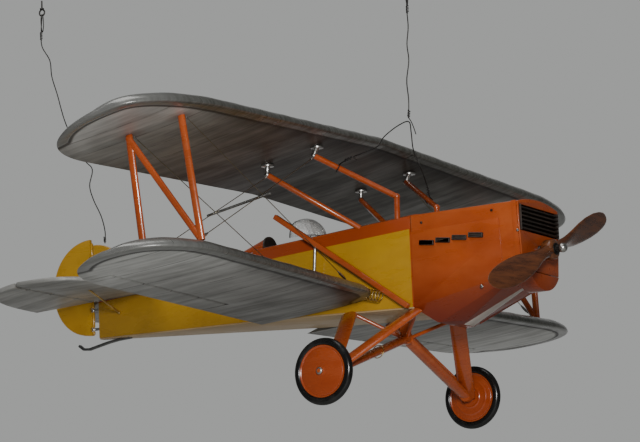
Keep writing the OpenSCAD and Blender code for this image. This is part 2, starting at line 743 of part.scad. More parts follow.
// Flying and landing wires cross between the struts, and a spreader joins the crossings
function flying(s) = [upper_under(s, strut_y - 12) + up, lower_over(s, 88) - up];
function landing(s, top) = [top - 3 * up, lower_over(s, strut_y - 12) - up];
function crossing(a, b) = let (u = a[1] - a[0], v = b[1] - b[0], w = b[0] - a[0],
    t = (w.y * v.z - w.z * v.y) / (u.y * v.z - u.z * v.y)) a[0] + t * u;
module rigging_wires() {
    color("dimgray") place() both_sides() {
        for (w = [flying(spar_front), flying(spar_rear), landing(spar_front, front_top),
            landing(spar_rear, rear_top)]) bar(w[0], w[1], wire_r);
    }
}
module wire_spreaders() {
    a = crossing(flying(spar_front), landing(spar_front, front_top));
    b = crossing(flying(spar_rear), landing(spar_rear, rear_top));
    reach = unit(b - a);
    color("gray") place() both_sides() bar(a - 14 * reach, b + 18 * reach, 2.2);
}
module root_lacing() {
    color("darkkhaki") place() {
        for (i = [0 : 7]) translate([-331 + 6.4 * i, -78, -39.5 - 2.2 * i]) rotate([0, 70, 0])
            rotate_extrude() translate([6, 0]) circle(0.8, $fn = 16);
        translate([-295, -85, -147]) rotate([78, 0, 0]) rotate_extrude() translate([11.4, 0])
            circle(0.8, $fn = 16);
    }
}
module diagonal_strut() {
    low = [-234, -80, -76];
    high = [-497, -80, 115];
    color("orangered") place() {
        translate(high) rotate([0, 90 + atan2(high.z - low.z, low.x - high.x), 0])
            translate([-4.5, -4.5, 0]) cube([9, 9, norm(low - high)]);
        bar([-416, -80, 54], [-424, -80, -40], 3);
    }
}

// ---------------------------------------------------------------- undercarriage

leg_front = [-226, -66, -82];
leg_rear = [-360, -67, -73];
axle_foot = [axle_point.x, -axle_point.y, axle_point.z];
module gear_leg(top) blade(top, axle_foot, leg_width, leg_thick);
module gear_front_legs() { color("orangered") place() both_sides() gear_leg(leg_front); }
module gear_rear_legs() { color("orangered") place() both_sides() gear_leg(leg_rear); }
module half_axles() {
    color("orangered") place() both_sides() {
        blade([pivot_point.x, -4, pivot_point.z], axle_foot, axle_width, axle_thick);
        translate(axle_foot + [0, 8, 0]) rotate([90, 0, 0]) cylinder(h = 13, r = 9.5);
        translate(axle_foot + [0, 2, 0]) rotate([90, 0, 0]) cylinder(h = wheel_y - hub_half + 0.8
            - axle_point.y, r = 7);
        translate(axle_foot) rotate([90, 0, 0]) cylinder(h = wheel_y + hub_half + 5 - axle_point.y,
            r = axle_radius);
    }
}
module gear_centre_struts() {
    color("orangered") place() {
        translate(pivot_point - [8, 5, 8]) cube([16, 10, 48]);
        both_sides() {
            bar(leg_rear + [10, 4, -2], pivot_point, 3.2);
            bar(leg_front + [-4, 4, -2], pivot_point, 3.2);
        }
    }
}

module wheel() rotate_extrude($fn = 96) polygon([
    [axle_radius + running_play, -hub_half], [8, -hub_half], [10, -9.5], [24, -9], [36, -6], [40, -4.5],
    [42, -6], [43.8, -5.6], [42, -2], [41.9, 0], [42, 2], [43.8, 5.6], [42, 6], [40, 4.5], [36, 6],
    [24, 9], [10, 9.5], [8, hub_half], [axle_radius + running_play, hub_half]]);
module tyre() rotate_extrude($fn = 96) translate([wheel_radius - tyre_section, 0])
    circle(tyre_section - 0.05);
module at_wheel() translate([axle_point.x, -wheel_y, axle_point.z]) rotate([90, 0, 0]) children();
module wheel_right() { color("orangered") place() at_wheel() rotate([0, 0, 7]) wheel(); }
module tyre_right() { color("black") place() at_wheel() tyre(); }
module wheel_left() { color("orangered") place() mirror([0, 1, 0]) at_wheel() rotate([0, 0, 7]) wheel(); }
module tyre_left() { color("black") place() mirror([0, 1, 0]) at_wheel() tyre(); }

// ---------------------------------------------------------------- hanging

// A smooth curve through the route's points, and a round tube swept along it
function curve(p, i, t) = let (a = p[max(i - 1, 0)], b = p[i], c = p[i + 1],
    d = p[min(i + 2, len(p) - 1)]) 0.5 * (2 * b + (c - a) * t + (2 * a - 5 * b + 4 * c - d) * t * t
    + (3 * b - a - 3 * c + d) * t * t * t);
function smooth(p) = concat([for (i = [0 : len(p) - 2], t = [0, 0.5]) curve(p, i, t)], [p[len(p) - 1]]);
function heading(q, i) = unit(q[min(i + 1, len(q) - 1)] - q[max(i - 1, 0)]);
module tube(route, side) {
    q = smooth(route);
    n = len(q);
    points = [for (i = [0 : n - 1]) let (h = heading(q, i), u = unit(cross(h, side)), v = cross(h, u))
        for (k = [0 : 7]) q[i] + wire_radius * (cos(45 * k) * u + sin(45 * k) * v)];
    sides = [for (i = [0 : n - 2], k = [0 : 7])
        [8 * i + k, 8 * i + (k + 1) % 8, 8 * i + 8 + (k + 1) % 8, 8 * i + 8 + k]];
    polyhedron(points, concat(sides, [[for (k = [7 : -1 : 0]) k], [for (k = [0 : 7]) 8 * n - 8 + k]]));
}
module front_wire() { color("dimgray") place() tube(front_route, [0, 1, 0]); }
module rear_wire() { color("dimgray") place() tube(rear_route, [0, 1, 0]); }
module bridle_wire() { color("dimgray") place() tube(bridle_route, [-0.7, -0.5, 0.5]); }

// A ceiling hook: an eye, and the screw shank above it
module hook(x, z) {
    translate([x, 0, z]) {
        cylinder(h = shank_length, r = shank_radius);
        translate([0, 0, -2]) cylinder(h = 2, r = 4);
        translate([0, 0, -eye_radius - hook_wire - 1]) rotate([90, 0, 0]) rotate_extrude()
            translate([eye_radius, 0]) circle(hook_wire, $fn = 24);
    }
}
module front_hook() { color("gray") place() hook(hook_x, hook_z); }
module rear_hook() { color("gray") place() hook(rear_hook_x, rear_hook_z); }

side_panel_right();
side_panel_left();
belly_panel();
top_deck();
turtle_deck();
bulkheads();
cockpit_floor();
seat();
headrest();
windshield();
cowl_shell();
cowl_pan();
nose_plate();
radiator_slats();
radiator_core();
exhaust_stubs();
chin_scoop();
fasteners();
shaft_bearing();
prop_shaft();
propeller();
prop_nut();
upper_wing_skin();
upper_wing_spars();
upper_wing_ribs();
lower_wing_right();
lower_wing_left();
lower_wing_spars();
lower_wing_ribs();
aileron_right();
aileron_left();
hinge_brackets();
cabane_front();
cabane_rear();
strut_fittings();
n_strut_right();
n_strut_left();
rigging_wires();
wire_spreaders();
root_lacing();
diagonal_strut();
gear_front_legs();
gear_rear_legs();
half_axles();
gear_centre_struts();
wheel_right();
tyre_right();
wheel_left();
tyre_left();
stabiliser();
fin();
rudder();
elevator();
tail_braces();
tail_skid();
front_wire();
bridle_wire();
rear_wire();
front_hook();
rear_hook();
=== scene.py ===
import json
from contextlib import contextmanager
from math import atan2, cos, degrees, exp, hypot, pi, radians, sin, sqrt

import bmesh
import bpy
from mathutils import Matrix, Vector


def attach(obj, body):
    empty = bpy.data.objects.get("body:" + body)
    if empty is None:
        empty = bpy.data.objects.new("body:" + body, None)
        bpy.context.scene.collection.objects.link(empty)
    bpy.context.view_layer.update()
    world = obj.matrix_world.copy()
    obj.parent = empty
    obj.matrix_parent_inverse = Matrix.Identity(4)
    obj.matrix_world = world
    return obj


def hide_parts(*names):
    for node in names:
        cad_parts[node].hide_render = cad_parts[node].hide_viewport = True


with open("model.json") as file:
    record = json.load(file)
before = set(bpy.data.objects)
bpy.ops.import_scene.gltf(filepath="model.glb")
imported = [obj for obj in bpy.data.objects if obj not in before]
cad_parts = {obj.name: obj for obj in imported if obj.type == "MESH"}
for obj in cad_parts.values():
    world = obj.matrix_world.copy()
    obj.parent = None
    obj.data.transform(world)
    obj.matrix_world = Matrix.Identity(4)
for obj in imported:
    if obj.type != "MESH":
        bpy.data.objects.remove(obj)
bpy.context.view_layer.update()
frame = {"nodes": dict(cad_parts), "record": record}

MM = 0.001
JOINTS = {joint["name"]: joint for joint in frame["record"]["behaviour"]["joints"]}
HUB = Vector(JOINTS["propeller_spin"]["pos_m"])     # the propeller's hub, the drawing's own origin
SIDES = {"right": 1, "left": -1}                    # right wing: y below zero


def at(x, y, z):
    """A point given in millimetres from the propeller hub, in the row frame."""
    return HUB + Vector((x, y, z)) * MM


def mix(a, b, t):
    return a + (b - a) * t


# ------------ camera

CAMERA_AT = (2318, -4286, -882)
CAMERA_HEADING = 32.91
CAMERA_PITCH = 11.03
CAMERA_ROLL = -2.37
CAMERA_LENS = 166.1


def add_object(name, data):
    """Puts a mesh, a curve, a lamp or a camera in the scene."""
    made = bpy.data.objects.new(name, data)
    bpy.context.collection.objects.link(made)
    return made


def make_camera():
    data = bpy.data.cameras.new("camera")
    data.lens = CAMERA_LENS
    data.clip_end = 60
    camera = add_object("camera", data)
    camera.matrix_world = (
        Matrix.Translation(at(*CAMERA_AT))
        @ Matrix.Rotation(radians(CAMERA_HEADING), 4, "Z")
        @ Matrix.Rotation(radians(90 + CAMERA_PITCH), 4, "X")
        @ Matrix.Rotation(radians(CAMERA_ROLL), 4, "Z")
    )
    bpy.context.scene.camera = camera


make_camera()


# ------------ mesh tools


@contextmanager
def editing(mesh):
    """The mesh opened for editing, and written back at the end."""
    build = bmesh.new()
    build.from_mesh(mesh)
    yield build
    build.to_mesh(mesh)
    build.free()


def finish_mesh(piece, smooth=40):
    """Welds the mesh and shades it smooth, except at edges sharper than smooth degrees."""
    with editing(piece.data) as build:
        bmesh.ops.remove_doubles(build, verts=build.verts, dist=1e-6)
        bmesh.ops.recalc_face_normals(build, faces=build.faces)
        for edge in build.edges:
            edge.smooth = len(edge.link_faces) == 2 and edge.calc_face_angle(0) < radians(smooth)
        for face in build.faces:
            face.smooth = True


def add_mesh(name, points, faces, smooth=40):
    """A mesh object from points in the row frame."""
    mesh = bpy.data.meshes.new(name)
    mesh.from_pydata([tuple(p) for p in points], [], faces)
    mesh.validate()
    piece = add_object(name, mesh)
    finish_mesh(piece, smooth)
    return piece


def modify(piece, kind, **values):
    """Adds a modifier with these values and applies it."""
    modifier = piece.modifiers.new(kind.lower(), kind)
    for key, value in values.items():
        setattr(modifier, key, value)
    bpy.context.view_layer.update()
    evaluated = piece.evaluated_get(bpy.context.evaluated_depsgraph_get())
    mesh = bpy.data.meshes.new_from_object(evaluated)
    piece.modifiers.clear()
    piece.data = mesh


def bevel(piece, width, segments=2, angle=35):
    modify(piece, "BEVEL", width=width * MM, segments=segments, limit_method="ANGLE",
           angle_limit=radians(angle), harden_normals=False)
    finish_mesh(piece, 50)


def refine(node, name, width=0.6):
    """A bevelled, smooth-shaded copy of a CAD node, which it then stands for."""
    piece = add_object(name, frame["nodes"][node].data.copy())
    with editing(piece.data) as build:
        bmesh.ops.remove_doubles(build, verts=build.verts, dist=1e-6)
        bmesh.ops.dissolve_limit(build, angle_limit=radians(1), verts=build.verts, edges=build.edges)
    if width:
        bevel(piece, width)
    else:
        finish_mesh(piece)
    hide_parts(node)
    return piece


def loft(name, rings, smooth=40):
    """Skins rings of equal point counts and closes both ends."""
    count = len(rings[0])
    last = (len(rings) - 1) * count
    faces = []
    for i in range(0, last, count):
        for k in range(count):
            a, b = i + k, i + (k + 1) % count
            faces.append((a, b, b + count, a + count))
    faces.append(tuple(range(count))[::-1])
    faces.append(tuple(range(last, last + count)))
    return add_mesh(name, [p for ring in rings for p in ring], faces, smooth)


def frame_along(direction, hint=Vector((0, 0, 1))):
    direction = direction.normalized()
    if abs(direction.dot(hint)) > 0.95:
        hint = Vector((1, 0, 0))
    side = direction.cross(hint).normalized()
    return side, direction.cross(side).normalized()


def turned(u, v, angle):
    """The direction at an angle from u towards v."""
    return u * cos(angle) + v * sin(angle)


def lathe(name, profile, centre, axis, steps=96, smooth=35):
    """Turns (radius, height) points about an axis through centre."""
    axis = Vector(axis).normalized()
    u, v = frame_along(axis)
    count = len(profile)
    points, faces = [], []
    for i in range(steps):
        out = turned(u, v, 2 * pi * i / steps)
        points += [centre + out * (r * MM) + axis * (h * MM) for r, h in profile]
        this, following = i * count, (i + 1) % steps * count
        for k in range(count - 1):
            faces.append((this + k, this + k + 1, following + k + 1, following + k))
    return add_mesh(name, points, faces, smooth)


def spline(points, per=6):
    """A smooth line through the points."""
    made = []
    for i in range(len(points) - 1):
        a, b, c, d = (points[max(0, min(len(points) - 1, i + k))] for k in (-1, 0, 1, 2))
        for k in range(per):
            t = k / per
            made.append(0.5 * ((2 * b) + (c - a) * t + (2 * a - 5 * b + 4 * c - d) * t * t
                               + (3 * b - a - 3 * c + d) * t ** 3))
    made.append(points[-1])
    return made


def wire_curve(name, points, radius, closed=False):
    """A round wire as a curve; points in the row frame."""
    data = bpy.data.curves.new(name, "CURVE")
    data.dimensions = "3D"
    data.bevel_depth = radius * MM
    data.bevel_resolution = 4
    data.use_fill_caps = True
    line = data.splines.new("POLY")
    line.points.add(len(points) - 1)
    for point, place in zip(line.points, points):
        point.co = (*place, 1)
    line.use_cyclic_u = closed
    line.use_smooth = True
    return add_object(name, data)


def join(name, pieces):
    """One mesh object from several."""
    whole = add_object(name, bpy.data.meshes.new(name))
    with editing(whole.data) as build:
        for piece in pieces:
            build.from_mesh(piece.data)
            bpy.data.objects.remove(piece)
    finish_mesh(whole)
    return whole


def place(piece, look, *nodes, body="airframe"):
    """Rides a piece on its body, gives it its material, and hides the CAD nodes it stands for."""
    piece.data.materials.clear()
    piece.data.materials.append(PAINTS[look].material)
    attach(piece, body)
    if nodes:
        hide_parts(*nodes)
    return piece


# ------------ materials


class Paint:
    """A Principled material that is built node by node."""

    def __init__(self, name, metallic=0.0, roughness=0.5, coat=0.0):
        self.material = bpy.data.materials.new(name)
        self.material.use_nodes = True
        self.tree = self.material.node_tree
        self.shader = self.tree.nodes["Principled BSDF"]
        self.set("Metallic", metallic)
        self.set("Roughness", roughness)
        self.set("Coat Weight", coat)
        self.set("Coat Roughness", 0.12)
        self.where = self.add("ShaderNodeTexCoord").outputs["Object"]

    def add(self, kind, **values):
        node = self.tree.nodes.new(kind)
        for key, value in values.items():
            setattr(node, key, value)
        return node

    def link(self, a, b):
        self.tree.links.new(a, b)

    def put(self, socket, value):
        if hasattr(value, "links"):
            self.link(value, socket)
        elif isinstance(value, tuple) and len(value) == 3 and len(socket.default_value) == 4:
            socket.default_value = (*value, 1)
        else:
            socket.default_value = value

    def set(self, name, value):
        self.put(self.shader.inputs[name], value)

    def math(self, operation, a, b=0.0, c=0.0):
        node = self.add("ShaderNodeMath", operation=operation)
        for socket, value in zip(node.inputs, (a, b, c)):
            self.put(socket, value)
        return node.outputs[0]

    def zigzag(self, value):
        """0.5 at each whole number and 0 half way between them."""
        return self.math("ABSOLUTE", self.math("SUBTRACT", self.math("FRACT", value), 0.5))

    def axis(self, name):
        parts = self.add("ShaderNodeSeparateXYZ")
        self.link(self.where, parts.inputs[0])
        return parts.outputs[name]

    def attribute(self, name):
        return self.add("ShaderNodeAttribute", attribute_name=name).outputs["Fac"]

    def noise(self, scale, stretch=(1, 1, 1), detail=4.0, rough=0.55):
        mapping = self.add("ShaderNodeMapping")
        mapping.inputs["Scale"].default_value = stretch
        self.link(self.where, mapping.inputs["Vector"])
        node = self.add("ShaderNodeTexNoise")
        node.inputs["Scale"].default_value = scale
        node.inputs["Detail"].default_value = detail
        node.inputs["Roughness"].default_value = rough
        self.link(mapping.outputs[0], node.inputs["Vector"])
        return node.outputs["Fac"]

    def ramp(self, value, low, high, a=0.0, b=1.0):
        node = self.add("ShaderNodeMapRange", interpolation_type="SMOOTHSTEP")
        for name, number in (("Value", value), ("From Min", low), ("From Max", high),
                             ("To Min", a), ("To Max", b)):
            self.put(node.inputs[name], number)
        return node.outputs[0]

    def blend(self, factor, a, b):
        node = self.add("ShaderNodeMix", data_type="RGBA")
        self.put(node.inputs[0], factor)
        self.put(node.inputs[6], a)
        self.put(node.inputs[7], b)
        return node.outputs[2]

    def colour(self, value):
        self.set("Base Color", value)

    def rough(self, value):
        self.set("Roughness", value)

    def painted(self):
        """The colour that the surface has so far."""
        return self.shader.inputs["Base Color"].links[0].from_socket

    def bump(self, height, distance, strength=1.0):
        node = self.add("ShaderNodeBump")
        node.inputs["Distance"].default_value = distance * MM
        node.inputs["Strength"].default_value = strength
        self.put(node.inputs["Height"], height)
        if hasattr(self, "normal"):
            self.link(self.normal, node.inputs["Normal"])
        self.normal = node.outputs[0]
        self.link(self.normal, self.shader.inputs["Normal"])


def edge_wear(paint, colour, wear_and_light, amount=0.35):
    """Rubbed corners, from the surface's own pointiness."""
    corner = paint.add("ShaderNodeNewGeometry").outputs["Pointiness"]
    patchy = paint.math("MULTIPLY", paint.ramp(corner, 0.52, 0.58), paint.noise(90))
    return paint.blend(paint.math("MULTIPLY", patchy, amount), colour, wear_and_light)


def enamel(name, base, dark, light, roughness, coat):
    """Brushed household enamel: soft blotches, faint brush marks, and specks of dust."""
    paint = Paint(name, roughness=roughness, coat=coat)
    blotch = paint.ramp(paint.noise(7, detail=5), 0.35, 0.7)
    fine = paint.noise(60, (0.25, 1, 1), detail=6)
    tone = paint.blend(blotch, dark, base)
    tone = paint.blend(paint.math("MULTIPLY", fine, 0.3), tone, light)
    speck = paint.ramp(paint.noise(420, detail=2), 0.66, 0.74)
    tone = paint.blend(paint.math("MULTIPLY", speck, 0.1), tone, (0.18, 0.09, 0.04))
    tone = edge_wear(paint, tone, light)
    paint.colour(tone)
    paint.rough(paint.ramp(fine, 0.2, 0.8, roughness - 0.08, roughness + 0.14))
    paint.bump(paint.noise(110, (0.2, 1, 1), detail=3), 0.12, 0.35)
    paint.bump(paint.noise(14, detail=2), 0.5, 0.12)
    return paint


ORANGE = (0.41, 0.064, 0.008)
ORANGE_DARK = (0.30, 0.039, 0.004)
ORANGE_LIGHT = (0.56, 0.14, 0.03)
YELLOW = (0.475, 0.245, 0.007)
YELLOW_DARK = (0.385, 0.185, 0.005)
YELLOW_LIGHT = (0.62, 0.36, 0.02)


def cowl_enamel():
    """The nose's orange, darkened towards the chin as painted shade."""
    paint = enamel("cowl_enamel", ORANGE, ORANGE_DARK, ORANGE_LIGHT, 0.3, 0.3)
    height = paint.math("MULTIPLY_ADD", paint.noise(12, detail=4), 0.03, paint.axis("Z"))
    unshaded = paint.ramp(height, at(0, 0, -95).z, at(0, 0, 5).z)
    paint.colour(paint.blend(unshaded, (0.17, 0.016, 0.002), paint.painted()))
    paint.set("Specular IOR Level", 0.35)
    return paint


def band_paint():
    """Side panels: yellow with the orange band that follows the top edge."""
    paint = enamel("side_enamel", YELLOW, YELLOW_DARK, YELLOW_LIGHT, 0.28, 0.4)
    orange = paint.blend(paint.noise(9, detail=3), ORANGE_DARK, ORANGE)
    top_front, top_rear = at(-228, 0, 57.5), at(-945, 0, 27)
    slope = (top_rear.z - top_front.z) / (top_rear.x - top_front.x)
    line = paint.math("MULTIPLY_ADD", paint.axis("X"), slope, top_front.z - slope * top_front.x)
    height = paint.math("SUBTRACT", paint.axis("Z"), line)
    band = paint.ramp(height, -0.0004, 0.0004)
    post = paint.ramp(paint.axis("X"), at(-231, 0, 0).x, at(-230, 0, 0).x)
    band = paint.math("MAXIMUM", band, post)
    paint.colour(paint.blend(band, paint.painted(), orange))
    return paint


# What the cloth's mesh tells its material at each point; the third fact is painted light
CLOTH_FACTS = ("rim", "along", "painted_light", "ribs", "stain")


def silver_dope():
    """Silver-doped fabric, browned by age: brush streaks, rib lines, and a glossy bow all round
    that ends in a pinked tape. The brightness that the mesh hands over is painted light: lighter out to the
    tips as a painted highlight, darkest mid span on the upper wing as painted shade."""
    paint = Paint("silver_dope", metallic=0.35, roughness=0.42)
    rim, along, painted_light, ribs, stain = (paint.attribute(name) for name in CLOTH_FACTS)
    streak = paint.noise(11, (0.6, 5, 1), detail=6, rough=0.6)
    fine = paint.noise(48, (0.5, 4, 1), detail=4)
    cloud = paint.noise(5, detail=5)
    # painted light from the mesh, with random mottling, lifts both streak colours
    wear_and_light = paint.math("ADD", painted_light, paint.ramp(cloud, 0.3, 0.7, -0.14, 0.14))
    dark = paint.blend(wear_and_light, (0.032, 0.027, 0.020), (0.46, 0.46, 0.44))
    light = paint.blend(wear_and_light, (0.10, 0.090, 0.072), (0.82, 0.82, 0.80))
    tone = paint.blend(paint.ramp(streak, 0.25, 0.75), dark, light)
    tone = paint.blend(paint.ramp(fine, 0.5, 0.85, 0, 0.35), tone, light)
    patchy = paint.ramp(paint.noise(30), 0.35, 0.6, 0.1, 0.7)
    seam = paint.math("MULTIPLY", paint.ramp(paint.zigzag(ribs), 0.475, 0.49), patchy)
    tone = paint.blend(seam, tone, (0.035, 0.03, 0.025))
    tone = paint.blend(paint.math("MULTIPLY", stain, 0.6), tone, (0.20, 0.045, 0.02))
    # painted shade in a band behind the tape, deepest where the painted light is low; the tape's teeth; and
    # the polished bow, lightened out to the tips as a painted highlight
    shade_band = paint.math("MULTIPLY", paint.ramp(rim, 62, 20), paint.ramp(painted_light, 0.8, 0.2, 0.0, 0.75))
    tone = paint.blend(shade_band, tone, (0.03, 0.027, 0.022))
    tooth = paint.zigzag(paint.math("DIVIDE", along, 4.2))
    edge = paint.math("MULTIPLY_ADD", tooth, 7.0, rim)
    tape = paint.math("MULTIPLY", paint.ramp(rim, 16.5, 19), paint.ramp(edge, 27.5, 24.5))
    tone = paint.blend(paint.math("MULTIPLY", tape, 0.9), tone, (0.02, 0.018, 0.015))
    bow = paint.ramp(rim, 19, 16)
    metal = paint.blend(paint.ramp(fine, 0.35, 0.7), (0.12, 0.118, 0.10), (0.22, 0.22, 0.20))
    metal = paint.blend(paint.ramp(painted_light, 0.55, 1.0, 0, 0.55), metal, (0.42, 0.42, 0.41))
    tone = paint.blend(bow, tone, metal)
    paint.colour(tone)
    paint.set("Metallic", paint.ramp(bow, 0, 1, 0.3, 0.6))
    paint.rough(paint.math("MULTIPLY_ADD", bow, -0.16, paint.ramp(streak, 0.2, 0.8, 0.55, 0.40)))
    for direction in ("X", "Y"):
        weave = paint.add("ShaderNodeTexWave", wave_type="BANDS", bands_direction=direction)
        weave.inputs["Scale"].default_value = 260
        paint.link(paint.where, weave.inputs["Vector"])
        paint.bump(weave.outputs["Fac"], 0.05, 0.3)
    paint.bump(streak, 0.3, 0.25)
    paint.bump(tape, 0.4, 0.8)
    return paint


def varnished_wood():
    """Laminated propeller wood: long grain along the blade under dark varnish."""
    paint = Paint("blade_varnish", roughness=0.34, coat=0.35)
    grain = paint.noise(24, (3, 0.5, 5), detail=8, rough=0.7)
    ring = paint.noise(120, (2, 0.25, 4), detail=3)
    tone = paint.blend(paint.ramp(grain, 0.35, 0.65), (0.075, 0.021, 0.006), (0.165, 0.05, 0.014))
    tone = paint.blend(paint.ramp(ring, 0.5, 0.75, 0, 0.45), tone, (0.05, 0.015, 0.005))
    paint.colour(edge_wear(paint, tone, (0.30, 0.12, 0.045), 0.5))
    paint.rough(paint.ramp(grain, 0.2, 0.8, 0.22, 0.38))
    paint.bump(ring, 0.12, 0.3)
    return paint


def metal(name, base, dark, roughness):
    """Bare metal with fine scratches and tarnish."""
    paint = Paint(name, metallic=1.0, roughness=roughness)
    tarnish = paint.ramp(paint.noise(40, detail=6), 0.35, 0.75)
    line = paint.noise(300, detail=3)
    paint.colour(paint.blend(tarnish, dark, base))
    paint.rough(paint.ramp(line, 0.25, 0.75, roughness - 0.1, roughness + 0.15))
    paint.bump(line, 0.04, 0.4)
    return paint


def rubber():
    paint = Paint("tyre_rubber", roughness=0.32)
    dusty = paint.ramp(paint.noise(35, detail=5), 0.45, 0.8)
    paint.colour(paint.blend(dusty, (0.006, 0.006, 0.006), (0.02, 0.019, 0.018)))
    paint.rough(paint.ramp(dusty, 0, 1, 0.22, 0.45))
    paint.bump(paint.noise(500, detail=2), 0.05, 0.3)
    return paint


def bare_wood():
    paint = Paint("bare_wood", roughness=0.62)
    grain = paint.noise(18, (0.6, 6, 9), detail=7, rough=0.65)
    paint.colour(paint.blend(grain, (0.30, 0.17, 0.075), (0.56, 0.38, 0.20)))
    paint.bump(grain, 0.2, 0.4)
    return paint


def black_metal():
    paint = Paint("black_metal", roughness=0.45)
    soot = paint.ramp(paint.noise(60, detail=5), 0.4, 0.7)
    tone = paint.blend(soot, (0.014, 0.009, 0.006), (0.036, 0.022, 0.015))
    paint.colour(edge_wear(paint, tone, (0.10, 0.06, 0.04), 0.4))
    paint.bump(paint.noise(240, detail=3), 0.08, 0.4)
    return paint


def leather():
    paint = Paint("seat_leather", roughness=0.5)
    crackle = paint.add("ShaderNodeTexVoronoi", feature="DISTANCE_TO_EDGE")
    crackle.inputs["Scale"].default_value = 420
    paint.link(paint.where, crackle.inputs["Vector"])
    tone = paint.blend(paint.noise(30, detail=5), (0.055, 0.022, 0.011), (0.14, 0.065, 0.033))
    paint.colour(tone)
    paint.bump(paint.ramp(crackle.outputs["Distance"], 0, 0.15), 0.25, 0.6)
    return paint


def clear_screen():
    """Aged clear celluloid: faintly grey, scuffed and yellowed in patches."""
    paint = Paint("clear_screen", roughness=0.16)
    scuff = paint.ramp(paint.noise(45, detail=6), 0.45, 0.8)
    paint.colour(paint.blend(scuff, (0.72, 0.72, 0.70), (0.55, 0.53, 0.48)))
    paint.set("Transmission Weight", 0.55)
    paint.set("IOR", 1.3)
    paint.set("Alpha", paint.ramp(scuff, 0, 1, 0.62, 0.82))
    paint.rough(paint.ramp(scuff, 0, 1, 0.12, 0.4))
    return paint


ENAMELS = {     # base, dark, light, roughness, coat
    "yellow_paint": (YELLOW, YELLOW_DARK, YELLOW_LIGHT, 0.28, 0.4),
    "belly_paint": ((0.47, 0.32, 0.15), (0.37, 0.24, 0.11), (0.57, 0.43, 0.25), 0.5, 0.1),
    "pan_paint": ((0.60, 0.52, 0.46), (0.46, 0.36, 0.30), (0.72, 0.66, 0.61), 0.4, 0.3),
    "strut_paint": ((0.45, 0.066, 0.007), ORANGE_DARK, (0.62, 0.17, 0.045), 0.25, 0.5),
    "wheel_paint": ((0.37, 0.05, 0.006), (0.29, 0.036, 0.004), (0.55, 0.13, 0.03), 0.22, 0.6),
}
METALS = {      # bright, tarnished, roughness
    "bright_metal": ((0.62, 0.61, 0.58), (0.36, 0.35, 0.33), 0.3),
    "cast_metal": ((0.26, 0.26, 0.26), (0.15, 0.15, 0.15), 0.5),
    "rigging_steel": ((0.46, 0.39, 0.27), (0.26, 0.21, 0.14), 0.38),
    "spreader_alloy": ((0.62, 0.62, 0.60), (0.38, 0.38, 0.37), 0.35),
    "dark_metal": ((0.09, 0.085, 0.08), (0.04, 0.038, 0.035), 0.45),
    "brass_wire": ((0.78, 0.60, 0.28), (0.46, 0.33, 0.13), 0.32),
    "hanging_steel": ((0.10, 0.095, 0.09), (0.045, 0.042, 0.04), 0.5),
}
OTHERS = {
    "side": band_paint, "cowl_paint": cowl_enamel, "silver_dope": silver_dope, "blade_wood": varnished_wood,
    "tyre_rubber": rubber, "bare_wood": bare_wood, "black_metal": black_metal, "seat_leather": leather,
    "clear_screen": clear_screen,
}
PAINTS = {name: enamel(name.replace("paint", "enamel"), *look) for name, look in ENAMELS.items()}
PAINTS |= {name: metal(name, *look) for name, look in METALS.items()}
PAINTS |= {name: build() for name, build in OTHERS.items()}


# ------------ hanging wires

WIRE_RADIUS = 1.0
FRONT_HOOK_EYE = (-256, 0, 496.5)
REAR_HOOK_EYE = (-1066, 0, 603.5)
EYE_BAR_TOP = -6 + 1.5 + WIRE_RADIUS        # where a loop rests, from the eye's centre
FRONT_ROUTE = [(-256, 0, 488), (-257, 0, 460), (-256, 0, 430), (-260, 0, 400), (-258, 0, 370),
               (-264, 0, 335), (-262, 0, 300), (-264, 0, 268)]
REAR_ROUTE = [(-1066, 0, 595), (-1069, 0, 570), (-1068, 0, 538), (-1050, 0, 507), (-1046, 0, 475),
              (-1034, 0, 438), (-1014, 0, 375), (-976, 0, 306), (-956, 0, 282), (-963, 0, 252),
              (-955, 0, 224), (-938, 0, 190), (-930, 0, 160), (-931, 0, 138)]
BRIDLE_ROUTE = [(-287, 81, 138), (-286, 89, 132), (-279, 93, 138), (-280, 85, 145), (-278, 74, 164),
                (-276, 52, 192), (-280, 38, 220), (-272, 20, 246), (-264, 0, 262), (-274, -22, 252),
                (-288, -44, 232), (-292, -62, 212), (-304, -82, 201), (-318, -104, 190),
                (-330, -123, 178), (-328, -131, 171), (-336, -128, 164), (-338, -119, 171),
                (-334, -115, 178)]


def hanging_wire(name, route):
    wire = wire_curve(name, spline([at(*p) for p in route]), WIRE_RADIUS)
    return place(wire, "hanging_steel", name)


def eye_loop(name, eye, length, half):
    """The wire's own loop: up one side, over the eye's lower bar and down the other."""
    points = []
    for i in range(40):
        t = 2 * pi * i / 40
        y = half * sin(t) * (1 - 0.35 * cos(t))
        z = EYE_BAR_TOP - length / 2 * (1 - cos(t))
        points.append(at(eye[0] + 0.8 * sin(2 * t), y, eye[2] + z))
    return place(wire_curve(name, points, WIRE_RADIUS * 0.9, closed=True), "hanging_steel")


def twist(name, low, high, turns, tail=None):
    """A wire end wound round the standing wire, with an optional loose tail."""
    around, radius = 1.9, 0.85
    a, b = at(*low), at(*high)
    u, v = frame_along(b - a)
    points = []
    for i in range(turns * 16 + 1):
        t = i / (turns * 16)
        points.append(mix(a, b, t) + turned(u, v, 2 * pi * turns * t) * (around * MM))
    if tail:
        points += spline([points[-1]] + [at(*p) for p in tail], 4)[1:]
    return place(wire_curve(name, points, radius), "hanging_steel")


